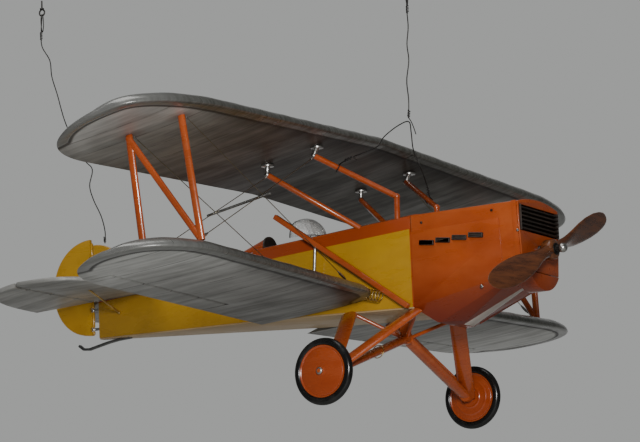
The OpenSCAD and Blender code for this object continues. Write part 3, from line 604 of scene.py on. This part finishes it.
def build_wires():
    for name in ("front_hook", "rear_hook"):
        place(refine(name, name + "_turned", 0.3), "hanging_steel")
    front = hanging_wire("front_wire", FRONT_ROUTE)
    front_ends = [
        eye_loop("front_loop", FRONT_HOOK_EYE, 24, 3.4),
        twist("front_top_twist", (-256, 0, 456), (-256, 0, 469), 5),
        twist("front_low_twist", (-262, 0, 282), (-264, 0, 270), 4,
              tail=[(-258, -3, 262), (-252, -5, 250), (-247, -6, 236)]),
    ]
    bridle = hanging_wire("bridle_wire", BRIDLE_ROUTE)
    bridle_ends = [
        twist("bridle_right_twist", (-326, -117, 183), (-318, -104, 190), 3, tail=[(-312, -98, 186)]),
        twist("bridle_left_twist", (-280, 84, 147), (-279, 77, 159), 3),
    ]
    rear = hanging_wire("rear_wire", REAR_ROUTE)
    rear_ends = [
        eye_loop("rear_loop", REAR_HOOK_EYE, 34, 3.8),
        twist("rear_top_twist", (-1069, 0, 551), (-1069, 0, 566), 5),
        twist("rear_low_twist", (-931, 0, 150), (-931, 0, 140), 3),
    ]


build_wires()


# ------------ fabric wings

RIB_PITCH = 76
SAG = 0.7                                   # how far the cloth dips between two ribs
# The last two entries set painted light on the cloth: it brightens from that share of the half span out to
# the tip, and the upper wing starts darker than the lower as painted shade.
UPPER = dict(le=(-309, 229), chord=290, half=707, tip=212, crest=0.31, incidence=9.5, droop=2.6,
             sweep=1.5, first_rib=9.5, painted_light=(0.0, 1.0), dull=0.3)
LOWER = dict(le=(-290, -50), chord=250, half=679, tip=147, crest=0.44, incidence=5, droop=-1.7,
             sweep=0, first_rib=101.5, nick=36, painted_light=(0.26, 1.0), dull=0.2)
LOWER_ROOT = 71.5
AILERON = dict(inner=250, outer=575, chord=56, gap=3)
SURFACE_GAP = 0.4
SECTION_STEPS = 30
SPAR_FRONT, SPAR_REAR = 0.19, 0.55          # shares of the chord
STRUT_Y = 560


def bulge(s):
    """The height of the section's curve at a share of the chord."""
    s = max(s, 0)
    return 0.6 * (0.2969 * sqrt(s) - 0.126 * s - 0.3516 * s * s + 0.2843 * s ** 3 - 0.1036 * s ** 4)


def wing_matrix(wing, side):
    """From a half wing's own frame, in millimetres, to the row frame; the left half is mirrored."""
    turn = (Matrix.Rotation(radians(wing["sweep"]), 4, "Z")
            @ Matrix.Rotation(radians(wing["droop"]), 4, "X")
            @ Matrix.Rotation(radians(-wing["incidence"]), 4, "Y"))
    le = Matrix.Translation((wing["le"][0], 0, wing["le"][1]))
    flip = Matrix.Diagonal((1, side, 1, 1))
    return Matrix.Translation(HUB) @ Matrix.Scale(MM, 4) @ flip @ le @ turn


def plan_at(wing, y):
    """Where the leading and trailing edges are at a span station, as distances back."""
    chord, half, tip, crest = (wing[k] for k in ("chord", "half", "tip", "crest"))
    nick = wing.get("nick", 0)
    if y < LOWER_ROOT + 1.6 * nick and nick:
        t = 1 - (y - LOWER_ROOT) / (1.6 * nick)
        return 1.15 * nick * (1 - sqrt(max(0, 1 - t * t))), chord
    if y <= half - tip:
        return 0.0, chord
    v = min(1, (y - half + tip) / tip)
    w = max(0, 1 - v ** (2 / 0.9)) ** 0.45
    return chord * crest * (1 - w), chord * (crest + (1 - crest) * w)


def rim_place(outline, x, y):
    """How far a point is from the outline, and how far along it the nearest place is."""
    best, place_at, run = 1e9, 0, 0
    for (ax, ay), (bx, by) in zip(outline, outline[1:]):
        dx, dy = bx - ax, by - ay
        length = hypot(dx, dy)
        t = max(0, min(1, ((x - ax) * dx + (y - ay) * dy) / (length * length + 1e-9)))
        away = hypot(ax + t * dx - x, ay + t * dy - y)
        if away < best:
            best, place_at = away, run + t * length
        run += length
    return best, place_at


def span_stations(wing, start, end):
    """Span stations that bunch up at each rib and towards the round tip."""
    steps = (-22, -9, -3.5, 0, 3.5, 9, 22, 38)
    stations = {rib + step for rib in wing["ribs"] for step in steps}
    tip_start = wing["half"] - wing["tip"]
    stations |= {tip_start + wing["tip"] * sin(pi / 2 * i / 40) for i in range(1, 40)}
    stations = {y for y in stations if start < y < end}
    stations |= {start + step for step in (0, 1, 2, 4, 7, 11, 16, 22, 29, 38, 48)} | {end}
    ordered = sorted(stations)
    return [y for i, y in enumerate(ordered) if i == 0 or y - ordered[i - 1] > 0.4]


def sag_at(wing, y):
    from_rib = (y - wing["first_rib"]) % RIB_PITCH / RIB_PITCH
    return SAG * sin(pi * from_rib) ** 1.2 if y > wing["first_rib"] - RIB_PITCH else 0


BOW_REACH, BOW_DEPTH = 24, 5.0              # the round wooden bow inside the cloth's edge


def bow_at(wing, x, y, lead):
    """Half depth of the rounded edge at a point of the plan, fading out at the trailing edge."""
    if y > wing["half"] - wing["tip"] - 4:
        inside = rim_place(wing["edge"], x, y)[0]
    else:
        inside = x - lead
    if inside >= BOW_REACH:
        return 0
    rise = sqrt(max(0, 1 - (1 - min(1, inside / (0.33 * BOW_REACH))) ** 2))
    fall = 0.5 + 0.5 * cos(pi * max(0, (inside / BOW_REACH - 0.4) / 0.6))
    fade = min(1, max(0, (0.95 - x / wing["chord"]) / 0.3))
    return BOW_DEPTH * rise * fall * fade


def section_ring(wing, y, front=None, back=None, trim=0):
    """One closed section: top from the trailing edge forward, then the underside back."""
    lead, trail = plan_at(wing, y)
    lead, trail = lead + trim, trail - trim
    front = lead if front is None else front
    back = trail if back is None else min(back, trail)
    chord = trail - lead
    scale = (chord / wing["chord"]) ** 0.7
    low = sag_at(wing, y)
    steps = [(1 - cos(pi * i / SECTION_STEPS)) / 2 for i in range(SECTION_STEPS + 1)]
    ring = []
    for over in (True, False):
        for s in (steps[::-1] if over else steps):
            x = mix(front, back, s)
            part = min(1, max(0, (x - lead) / chord)) if chord > 0.1 else 0
            deep = bulge(part) * wing["chord"] * scale
            taut = min(1, deep / 6) * low
            thin = 0.5 + 1.0 * min(1, part * 8)
            bow = bow_at(wing, x, y, lead)
            if over:
                z = max(1.7 * deep - taut, 0.25 * thin, bow + 0.8 * min(deep, 4))
            else:
                z = min(-0.3 * deep + 0.6 * taut, -0.05, -0.55 * bow)
            ring.append(Vector((-x, -y, z)))
    return ring


def cover(piece, wing, node, body="airframe"):
    """Dopes a piece of cloth: the facts its material reads, in millimetres or as shares, and its place."""
    for name in CLOTH_FACTS:
        piece.data.attributes.new(name, "FLOAT", "POINT")
    facts = [piece.data.attributes[name].data for name in CLOTH_FACTS]
    inverse = {side: wing_matrix(wing, side).inverted() for side in (1, -1)}
    for i, vertex in enumerate(piece.data.vertices):
        local = inverse[1 if vertex.co.y <= HUB.y else -1] @ vertex.co
        x, y = -local.x, -local.y
        rim, along = rim_place(wing["edge"], x, y)
        # painted light: brighter out to the tip, with a painted highlight in a ring just inside the tip's
        # edge
        tip = max(0, min(1, (y - wing["half"] + wing["tip"]) / (0.7 * wing["tip"])))
        tip_highlight = max(0, 1 - abs(rim - 36) / 26) * tip
        out = max(0, min(1, (y / wing["half"] - wing["dull"]) / (1 - wing["dull"])))
        painted_light = mix(*wing["painted_light"], out ** 1.3) + 0.45 * tip_highlight
        foot = min(hypot(x - s * wing["chord"], y - STRUT_Y) for s in (SPAR_FRONT, SPAR_REAR))
        stain = max(0, 1 - foot / 30) if local.z < 1 and wing is UPPER else 0
        rim += 40 * max(0, (x / wing["chord"] - 0.8) / 0.2)
        values = (rim, along, painted_light, (y - wing["first_rib"]) / RIB_PITCH, stain)
        for fact, value in zip(facts, values):
            fact[i].value = value
    place(piece, "silver_dope", node, body=body)


def plan_outline(wing):
    ys = [wing["half"] * sin(pi / 2 * i / 90) for i in range(91)]
    return [(plan_at(wing, y)[0], y) for y in ys] + [(plan_at(wing, y)[1], y) for y in ys[::-1]]


for wing in (UPPER, LOWER):
    wing["edge"] = plan_outline(wing)
    wing["ribs"] = [wing["first_rib"] + RIB_PITCH * i for i in range(10)]
    wing["ribs"] = [y for y in wing["ribs"] if y < wing["half"]]


def build_upper_wing():
    half = UPPER["half"] - SURFACE_GAP
    stations = span_stations(UPPER, 0, half)
    rings = []
    for side, ys in ((1, stations[::-1]), (-1, stations[1:])):
        matrix = wing_matrix(UPPER, side)
        for y in ys:
            ring = [matrix @ p for p in section_ring(UPPER, y, trim=0.2 if y == half else 0)]
            if y == 0:
                for p in ring:
                    p.y = HUB.y
            rings.append(ring)
    cover(loft("upper_wing_cloth", rings, 50), UPPER, "upper_wing_skin")


def build_lower_wing(side_name):
    matrix = wing_matrix(LOWER, SIDES[side_name])
    bay_in, bay_out = AILERON["inner"], AILERON["outer"]
    parts = []
    for start, end, back in ((LOWER_ROOT, bay_in, None), (bay_in, bay_out, LOWER["chord"] - AILERON["chord"]),
                             (bay_out, LOWER["half"] - SURFACE_GAP, None)):
        rings = [[matrix @ p for p in section_ring(LOWER, y, back=back)]
                 for y in span_stations(LOWER, start, end)]
        parts.append(loft("lower_part", rings))
    cover(join(f"lower_wing_cloth_{side_name}", parts), LOWER, f"lower_wing_{side_name}")


def build_aileron(side_name):
    matrix = wing_matrix(LOWER, SIDES[side_name])
    gap = AILERON["gap"]
    nose = LOWER["chord"] - AILERON["chord"] + gap
    rings = []
    for y in span_stations(LOWER, AILERON["inner"] + gap, AILERON["outer"] - gap):
        ring = section_ring(LOWER, y, front=nose)
        blunt = [p.z for p in ring if p.x > -nose - 0.5]
        for p in ring:
            near = max(0, 1 - (-p.x - nose) / 6)
            p.z = mix(p.z, sum(blunt) / len(blunt), 0.75 * near * near)
        rings.append([matrix @ p for p in ring])
    name = f"aileron_{side_name}"
    cover(loft(f"aileron_cloth_{side_name}", rings), LOWER, name, name)


build_upper_wing()
for side_name in SIDES:
    build_lower_wing(side_name)
    build_aileron(side_name)


def inner_height(wing, y, x):
    """Top and bottom of the room inside the cloth at a point, or None where it is too thin."""
    lead, trail = plan_at(wing, y)
    part = (x - lead) / max(1, trail - lead)
    if not 0.03 < part < 0.93:
        return None
    deep = bulge(part) * wing["chord"] * ((trail - lead) / wing["chord"]) ** 0.7
    top, low = 1.7 * deep - 2.2, -0.3 * deep + 1.4
    return (top, low) if top - low > 1.5 else None


def build_wood(wing, name, start):
    """Ribs and spars inside the cloth of both halves."""
    ribs, spars = [], []
    for side in (1, -1):
        matrix = wing_matrix(wing, side)
        for y in (rib for rib in wing["ribs"] if rib < wing["half"] - 20):
            in_bay = wing is LOWER and AILERON["inner"] - 10 < y < AILERON["outer"] + 10
            xs = [mix(*plan_at(wing, y), i / 24) for i in range(25)]
            room = [(x, inner_height(wing, y, x)) for x in xs if not (in_bay and x > 185)]
            room = [(x, h) for x, h in room if h]
            outline = [(x, h[0]) for x, h in room] + [(x, h[1]) for x, h in room[::-1]]
            ribs.append(loft("rib", [[matrix @ Vector((-x, -y + off, z)) for x, z in outline]
                                     for off in (-1.5, 1.5)]))
        for x in (SPAR_FRONT * wing["chord"], SPAR_REAR * wing["chord"]):
            rings = []
            for k in range(30):
                y = mix(start, wing["half"] - 40, k / 29)
                h = inner_height(wing, y, x)
                if h:
                    corners = ((-3, h[1]), (3, h[1]), (3, h[0]), (-3, h[0]))
                    rings.append([matrix @ Vector((-x + dx, -y, z)) for dx, z in corners])
            spars.append(loft("spar", rings))
    place(join(f"{name}_ribs_wood", ribs), "bare_wood", f"{name}_ribs")
    place(join(f"{name}_spars_wood", spars), "bare_wood", f"{name}_spars")


build_wood(UPPER, "upper_wing", 2)
build_wood(LOWER, "lower_wing", 76)


# ------------ body

AXLE_X, AXLE_Z, WHEEL_Y = -304, -195, 242
# corners of the nose's right side: x, half width, height
NOSE_FORM = [(-228, 71, 100), (-19, 71, 100), (-228, 71, -77), (-19, 69, 50), (-19, 60, -37),
             (-195, 45, -105), (-165, 18, -109), (-45, 6, -55)]


def side_plate(name, side, lift, thick, soft, back, front, low, high):
    """A plate that lies on the nose's folded side, trimmed to a stretch and a height."""
    plate = add_object(name, bpy.data.meshes.new(name))
    with editing(plate.data) as build:
        for x, half, z in NOSE_FORM:
            for y in (-half - lift, half + lift):
                build.verts.new(at(x, y, z - lift))
        bmesh.ops.convex_hull(build, input=build.verts)
        build.normal_update()
        other = [f for f in build.faces if f.normal.y * side > -0.3]
        bmesh.ops.delete(build, geom=other, context="FACES")
        for point, normal in (((front, 0, 0), (1, 0, 0)), ((back, 0, 0), (-1, 0, 0)),
                              ((0, 0, high), (0, 0, 1)), ((0, 0, low), (0, 0, -1))):
            bmesh.ops.bisect_plane(build, geom=build.verts[:] + build.edges[:] + build.faces[:],
                                   plane_co=at(*point), plane_no=normal, clear_outer=True)
    modify(plate, "SOLIDIFY", thickness=thick * MM, offset=-1, use_even_offset=True)
    finish_mesh(plate, 8)
    bevel(plate, soft, 3, 12)
    place(plate, "cowl_paint")


def build_cowl_panels():
    """On each side, the raised panel that carries the exhausts, and the bent flange at the nose."""
    for name, side in SIDES.items():
        side_plate(f"cowl_side_panel_{name}", side, 0.9, 1.6, 0.5, -227, -56, -104.5, 52)
        side_plate(f"nose_flange_{name}", side, 0.6, 1.2, 0.45, -31, -22, -40, 78)


def rounded(width, height, radius, per=5):
    """Corner-rounded rectangle about its middle."""
    points = []
    for cx, cy, start in ((1, 1, 0), (-1, 1, 90), (-1, -1, 180), (1, -1, 270)):
        for i in range(per + 1):
            angle = radians(start + 90 * i / per)
            points.append((cx * (width / 2 - radius) + radius * cos(angle),
                           cy * (height / 2 - radius) + radius * sin(angle)))
    return points


def slab(name, outline, along, origin, across, up, thick, soft):
    """A flat plate with a softened face: its outline lies across and up, and it is thick along."""
    across, up, along = Vector(across), Vector(up), Vector(along)
    rings = []
    for depth, inset in ((0, 0), (thick - soft, 0), (thick - soft * 0.3, soft * 0.3), (thick, soft)):
        ring = []
        for a, b in outline:
            k = 1 - inset / (hypot(a, b) or 1)
            ring.append(at(*(Vector(origin) + across * (a * k) + up * (b * k) + along * depth)))
        rings.append(ring)
    return loft(name, rings)


def screw(name, where, out, radius):
    """A slotted round-head screw."""
    profile = [(radius, -0.6), (radius, 0.2), (radius * 0.93, 0.75), (radius * 0.7, 1.2),
               (radius * 0.35, 1.45), (0.01, 1.5)]
    head = lathe(name, profile, at(*where), out, steps=28)
    u, v = frame_along(out)
    cutter = []
    for a, b in ((-1, -0.14), (1, -0.14), (1, 0.14), (-1, 0.14)):
        cutter.append(at(*where) + (u * (a * radius * 1.2) + v * (b * radius * 1.2) + out * 0.9) * MM)
    tool = loft("slot_tool", [cutter, [p + out * (2 * MM) for p in cutter]])
    modify(head, "BOOLEAN", object=tool, operation="DIFFERENCE")
    bpy.data.objects.remove(tool)
    finish_mesh(head, 35)
    return head


def build_fasteners():
    """Screws and a nut on the right of the cowl, and the wheel nuts."""
    for i, (x, half, z, radius, look) in enumerate((
            (-206, 71.1, 65, 2.3, "dark_metal"), (-69, 70.4, 67, 2.3, "dark_metal"),
            (-22, 69.2, 27, 2.4, "bright_metal"), (-97, 67.5, -58, 3.0, "bright_metal"))):
        nodes = () if i else ("fasteners",)
        place(screw(f"cowl_screw_{i}", (x, -half, z), Vector((0, -1, 0)), radius), look, *nodes)
    profile = [(3.4, 0), (5.6, 0), (6, 0.4), (6, 2.4), (5.2, 3.4), (3.6, 4), (3.4, 4), (3.4, 0)]
    for name, side in SIDES.items():
        where = at(AXLE_X, -side * (WHEEL_Y + 12), AXLE_Z)
        place(lathe(f"wheel_nut_{name}", profile, where, (0, -side, 0), steps=36), "bright_metal")


def build_exhaust_mouths():
    """Black plates that stand for the open insides of the four short exhausts on the right: their black is
    painted shade of the hollows.
    """
    tilt = Matrix.Rotation(radians(8), 3, "Y")
    across, up = tilt @ Vector((1, 0, 0)), tilt @ Vector((0, 0, 1))
    for i in range(4):
        mouth = slab(f"exhaust_mouth_{i}", rounded(25, 6, 1.2), (0, -1, 0), (-196 + 32 * i, -70, 29),
                     across, up, 4.6, 0.4)
        place(mouth, "black_metal")


REFINED = {     # the CAD nodes that keep their shape, with each one's bevel, under its look
    "side": dict(side_panel_right=0.5, side_panel_left=0.5),
    "belly_paint": dict(belly_panel=0.6),
    "cowl_paint": dict(cowl_shell=0.7, nose_plate=0.9, chin_scoop=1.2, top_deck=0.5, turtle_deck=0.5,
                       headrest=1.2),
    "pan_paint": dict(cowl_pan=0.5),
    "bare_wood": dict(bulkheads=0.3, cockpit_floor=0.3),
    "seat_leather": dict(seat=2.5),
    "black_metal": dict(radiator_slats=0.7, radiator_core=0.3, exhaust_stubs=1.2),
    "cast_metal": dict(shaft_bearing=0.6, tail_skid=0.8),
    "bright_metal": dict(hinge_brackets=0.3, strut_fittings=0.5, prop_shaft=0.4),
    "strut_paint": dict(cabane_front=0.5, cabane_rear=0.5, n_strut_right=0.6, n_strut_left=0.6,
                        gear_front_legs=0.6, gear_rear_legs=0.6, half_axles=0.5, gear_centre_struts=0.8),
    "spreader_alloy": dict(wire_spreaders=0.4),
    "silver_dope": dict(stabiliser=2.6, elevator=2.6),
    "yellow_paint": dict(fin=1.8, rudder=1.8),
    "brass_wire": dict(tail_braces=0.4),
}
BODIES = dict(prop_shaft="propeller", rudder="rudder", elevator="elevator")


def build_refined():
    for look, bevels in REFINED.items():
        for node, width in bevels.items():
            place(refine(node, f"{node}_finish", width), look, body=BODIES.get(node, "airframe"))


def flat_attributes(*names):
    """Gives flat tail pieces the wing material's own coordinates."""
    for name in names:
        mesh = bpy.data.objects[name].data
        # the tail's cloth takes an even middle level of painted light
        for fact, level in zip(CLOTH_FACTS, (80, 0, 0.5, 0.5, 0)):
            for point in mesh.attributes.new(fact, "FLOAT", "POINT").data:
                point.value = level


build_cowl_panels()
build_exhaust_mouths()
build_fasteners()
build_refined()
flat_attributes("stabiliser_finish", "elevator_finish")


def build_windshield():
    """The round screen, with a wire round its open back and along its foot."""
    place(refine("windshield", "screen_glass", 0), "clear_screen")
    (x, z), back, radius = (-486, 84), -498, 37
    reach = sqrt((radius - 0.6) ** 2 - (back - x) ** 2)
    turns = [pi * i / 40 for i in range(41)]
    rim = [at(back, reach * cos(t), z + reach * sin(t)) for t in turns]
    place(wire_curve("screen_rim", rim, 1.1), "cast_metal")
    ys = [(radius - 2.5) * cos(pi * i / 30) for i in range(31)]
    foot = [at(x + sqrt(max(0, (radius - 1) ** 2 - y * y)), y, z + 1.2) for y in ys]
    place(wire_curve("screen_foot", foot, 1.3), "cast_metal")


def build_headrest_pad():
    """The black pad on the front of the headrest fairing."""
    radius, base = 22, 76.5
    turns = [pi * i / 24 for i in range(25)]
    outline = [(radius * cos(t), radius * sin(t) + 1) for t in turns] + [(-radius, 1.5)]
    place(slab("headrest_pad", outline, (1, 0, 0), (-566, 0, base), (0, -1, 0), (0, 0, 1), 4.5, 1.5),
          "black_metal")


build_windshield()
build_headrest_pad()


# ------------ propeller

BLADE_TURN = 21.8
# distance from the hub, chord, thickness, pitch in degrees, and where the chord's middle lies
BLADE = [(9, 22, 18, 50, 0), (18, 21, 17, 50, 0), (32, 21, 14, 46, 0), (50, 25, 11.5, 42, 0),
         (75, 35, 9.5, 36, 0.5), (100, 43, 8.2, 30, 1), (130, 47, 7.2, 26, 1.5), (165, 45, 6, 22, 1),
         (192, 38, 4.8, 19.5, 0), (210, 29, 3.8, 18, -1), (219, 20, 3, 17, -2), (224, 11, 2.2, 16, -3),
         (225.6, 4, 1.4, 16, -3.5)]


def blade_ring(station, turn, count=18):
    reach, chord, thick, pitch, shift = station
    p = radians(pitch)
    along = Vector((sin(p), 0, cos(p)))
    out = Vector((cos(p), 0, -sin(p)))
    spin = Matrix.Rotation(radians(BLADE_TURN + turn), 3, "X")
    ring = []
    for i in range(2 * count):
        angle = pi * i / count
        t = cos(angle)
        high = sin(angle)
        full = abs(high) ** 0.8 * (1 if high > 0 else -1)
        round_root = max(0, 1 - reach / 60)
        face = 0.62 if high > 0 else mix(0.38, 0.5, round_root)
        p = along * (t * chord / 2 + shift) + out * (full * thick * face) + Vector((0, reach, 0))
        ring.append(at(*(spin @ p)))
    return ring


def build_propeller():
    fine = [[mix(x, y, k / 3) for x, y in zip(a, b)] for a, b in zip(BLADE, BLADE[1:]) for k in range(3)]
    fine.append(BLADE[-1])
    blades = [loft("blade", [blade_ring(station, turn) for station in fine]) for turn in (0, 180)]
    hub = lathe("hub", [(4.2, -10), (14.5, -10), (16.2, -9.2), (17, -7.5), (17, 7.5), (16.2, 9.2),
                        (14.5, 10), (4.2, 10), (4.2, -10)], HUB, (1, 0, 0))
    place(join("propeller_wood", blades + [hub]), "blade_wood", "propeller", body="propeller")
    washer = lathe("hub_washer", [(4.2, 10.1), (9.6, 10.1), (10, 10.5), (10, 12), (9.4, 12.5), (6.6, 12.6),
                                  (6.6, 19), (4.2, 19.5), (4.2, 10.1)], HUB, (1, 0, 0))
    place(washer, "dark_metal", body="propeller")
    turns = [radians(angle) for angle in range(-30, 91, 6)]
    dome = [(max(0.01, 8 * cos(t)), 24 + 8 * sin(t)) for t in turns]
    nut = lathe("hub_nut", [(4.4, 18.5)] + dome, HUB, (1, 0, 0))
    place(nut, "bright_metal", "prop_nut", body="propeller")


build_propeller()


# ------------ wheels

def disc_face(sign):
    """Radius and height along the pressed wheel disc, hub to rim; the inner face has a raised ring."""
    points = [(3.7, 11), (7.4, 11), (8.0, 10.7), (8.3, 9.9)]
    r = 9.0
    while r < 40:
        high = 9.7 - 4.4 * (r / 40) ** 2.4
        if sign < 0:
            high += 1.0 * exp(-((r - 18) / 1.6) ** 2) + 0.6 * exp(-((r - 30) / 1.6) ** 2)
        else:
            high += 0.25 * exp(-((r - 12.5) / 1.2) ** 2)
        points.append((r, high))
        r += 0.65
    points += [(40.3, 5.0), (41.2, 5.9), (42.4, 6.5), (43.5, 6.3), (43.8, 5.4), (43.3, 4.2), (42.2, 2.2),
               (41.9, 0)]
    return [(r, sign * h) for r, h in points]


def build_wheel(side_name):
    side = -SIDES[side_name]
    centre = at(AXLE_X, side * WHEEL_Y, AXLE_Z)
    axis = Vector((0, side, 0))
    outer, inner = disc_face(1), disc_face(-1)
    profile = outer + inner[::-1][1:] + [outer[0]]
    disc = lathe(f"wheel_disc_{side_name}", profile, centre, axis, steps=144)
    place(disc, "wheel_paint", f"wheel_{side_name}", body=f"wheel_{side_name}")
    ring, section = 49, 6.95
    profile = []
    for i in range(73):
        angle = 2 * pi * i / 72
        r = section
        for groove in (-24, 24):
            off = degrees(atan2(sin(angle - radians(groove)),
                                          cos(angle - radians(groove))))
            r -= 0.35 * exp(-(off / 3) ** 2)
        profile.append((ring + r * cos(angle), r * sin(angle)))
    tyre = lathe(f"tyre_rubber_{side_name}", profile, centre, axis, steps=144, smooth=60)
    place(tyre, "tyre_rubber", f"tyre_{side_name}", body=f"wheel_{side_name}")


for side_name in SIDES:
    build_wheel(side_name)


# ------------ rigging


def wing_point(wing, side, s, y, over):
    """A point on a wing's upper or lower face at a share of the chord, in millimetres from the hub."""
    z = (1.7 if over else -0.3) * wing["chord"] * bulge(s)
    p = wing_matrix(wing, side) @ Vector((-s * wing["chord"], -y, z))
    return (p - HUB) / MM


def stay(name, a, b, *nodes):
    """A tight wire with a ferrule at each end and a turnbuckle near its foot."""
    run = (b - a).normalized()
    place(wire_curve(name, [at(*a), at(*b)], 0.7), "rigging_steel", *nodes)
    profile = [(0.9, -13), (1.5, -12), (1.6, -9), (2.3, -7), (2.5, -3), (2.5, 3), (2.3, 7), (1.6, 9),
               (1.5, 12), (0.9, 13)]
    place(lathe(f"{name}_turnbuckle", profile, at(*(b - run * 34)), run, steps=20), "bright_metal")
    profile = [(0.8, -4.5), (1.35, -4), (1.35, 4), (0.8, 4.5)]
    for end, point in (("top", a + run * 6), ("foot", b - run * 6)):
        place(lathe(f"{name}_{end}", profile, at(*point), run, steps=16), "bright_metal")


def build_rigging():
    lift = Vector((0, 0, 1))
    for side_name, side in SIDES.items():
        for part, s, x, z in (("front", SPAR_FRONT, -366, 190), ("rear", SPAR_REAR, -463, 171)):
            name = f"{part}_{side_name}"
            nodes = ("rigging_wires",) if name == "front_right" else ()
            stay(f"flying_{name}", wing_point(UPPER, side, s, STRUT_Y - 12, False) + lift,
                 wing_point(LOWER, side, s, 88, True) - lift, *nodes)
            stay(f"landing_{name}", Vector((x, -150 * side, z)),
                 wing_point(LOWER, side, s, STRUT_Y - 12, True) - lift)


build_rigging()


def build_lacing():
    """A coil of brass wire at the right lower wing's root, and a ring on the leg."""
    start, step, turns = Vector((-346, -82, -34)), Vector((6, 0, -2.0)), 10
    u, v = frame_along(step)
    coil = []
    for i in range(turns * 20 + 1):
        t = i / 20
        reach = 9 + 0.54 * sin(5.3 * t)
        coil.append(at(*(start + step * t + turned(u, v, 2 * pi * t) * reach)))
    place(wire_curve("root_coil", coil, 1.0), "brass_wire", "root_lacing")
    u, v = Vector((1, 0, 0)), Matrix.Rotation(radians(78), 3, "X") @ Vector((0, 1, 0))
    ring = [at(*(Vector((-295, -85, -147)) + turned(u, v, 2 * pi * i / 40) * 11.4)) for i in range(40)]
    place(wire_curve("leg_ring", ring, 0.8, closed=True), "brass_wire")


def build_diagonal():
    """The square stick along the right side and the thin rod that steadies it."""
    low, high = Vector((-234, -80, -76)), Vector((-497, -80, 115))
    u = Vector((0, 1, 0))
    v = (high - low).normalized().cross(u).normalized()
    rings = []
    for t, size in ((0, 0.86), (0.004, 1), (0.35, 1), (0.7, 1), (0.996, 1), (1, 0.86)):
        rings.append([at(*(mix(low, high, t) + u * (x * size) + v * (y * size)))
                      for x, y in rounded(9, 9, 1.0, 4)])
    place(loft("diagonal_stick", rings), "strut_paint", "diagonal_strut")
    rod = wire_curve("diagonal_rod", [at(-416, -80, 54), at(-424, -80, -41)], 2.6)
    place(rod, "spreader_alloy")


build_lacing()
build_diagonal()


# ------------ floor, light and finish


BACKDROP_GLOW = 0.62
WORLD_LIGHT = 0.18
FLOOR_Z, FLOOR_HALF = -2.1, 3.5             # metres, in the row frame
TARGET = at(-350, 0, 0)


def area_light(name, where, power, size):
    """A soft light that is aimed at the model and doesn't show itself."""
    data = bpy.data.lights.new(name, "AREA")
    data.energy = power
    data.shape = "RECTANGLE"
    data.size, data.size_y = size
    lamp = add_object(name, data)
    lamp.location = where
    lamp.rotation_euler = (TARGET - where).to_track_quat("-Z", "Y").to_euler()
    lamp.visible_camera = False


def studio_world():
    """A pale even backdrop for whatever looks straight at it, and a softer light on the model."""
    world = bpy.data.worlds.new("room")
    world.use_nodes = True
    tree = world.node_tree
    background = tree.nodes["Background"]
    background.inputs["Color"].default_value = (0.60, 0.61, 0.60, 1)
    kinds = ("ShaderNodeLightPath", "ShaderNodeMath", "ShaderNodeMapRange")
    path, straight, level = (tree.nodes.new(kind) for kind in kinds)
    straight.operation = "MAXIMUM"
    level.inputs["To Min"].default_value = WORLD_LIGHT
    level.inputs["To Max"].default_value = BACKDROP_GLOW
    tree.links.new(path.outputs["Is Camera Ray"], straight.inputs[0])
    tree.links.new(path.outputs["Is Transmission Ray"], straight.inputs[1])
    tree.links.new(straight.outputs[0], level.inputs["Value"])
    tree.links.new(level.outputs[0], background.inputs["Strength"])
    bpy.context.scene.world = world


def build_stage():
    paint = Paint("floor_paint", roughness=0.9)
    paint.colour(paint.blend(paint.noise(0.6, detail=2), (0.60, 0.60, 0.58), (0.618, 0.618, 0.597)))
    corners = [Vector((x * FLOOR_HALF, y * FLOOR_HALF, FLOOR_Z))
               for x, y in ((-1, -1), (1, -1), (1, 1), (-1, 1))]
    floor = add_mesh("floor", corners, [(0, 1, 2, 3)])
    floor.data.materials.append(paint.material)
    studio_world()
    heading = radians(CAMERA_HEADING)
    area_light("key", at(2100, -3700, 300), 125, (0.9, 0.7))
    area_light("overhead", at(-900, -1200, 2600), 40, (2.5, 2.5))
    area_light("behind", TARGET + Vector((-5 * sin(heading), 5 * cos(heading), 0.7)), 30, (6, 4.6))


build_stage()
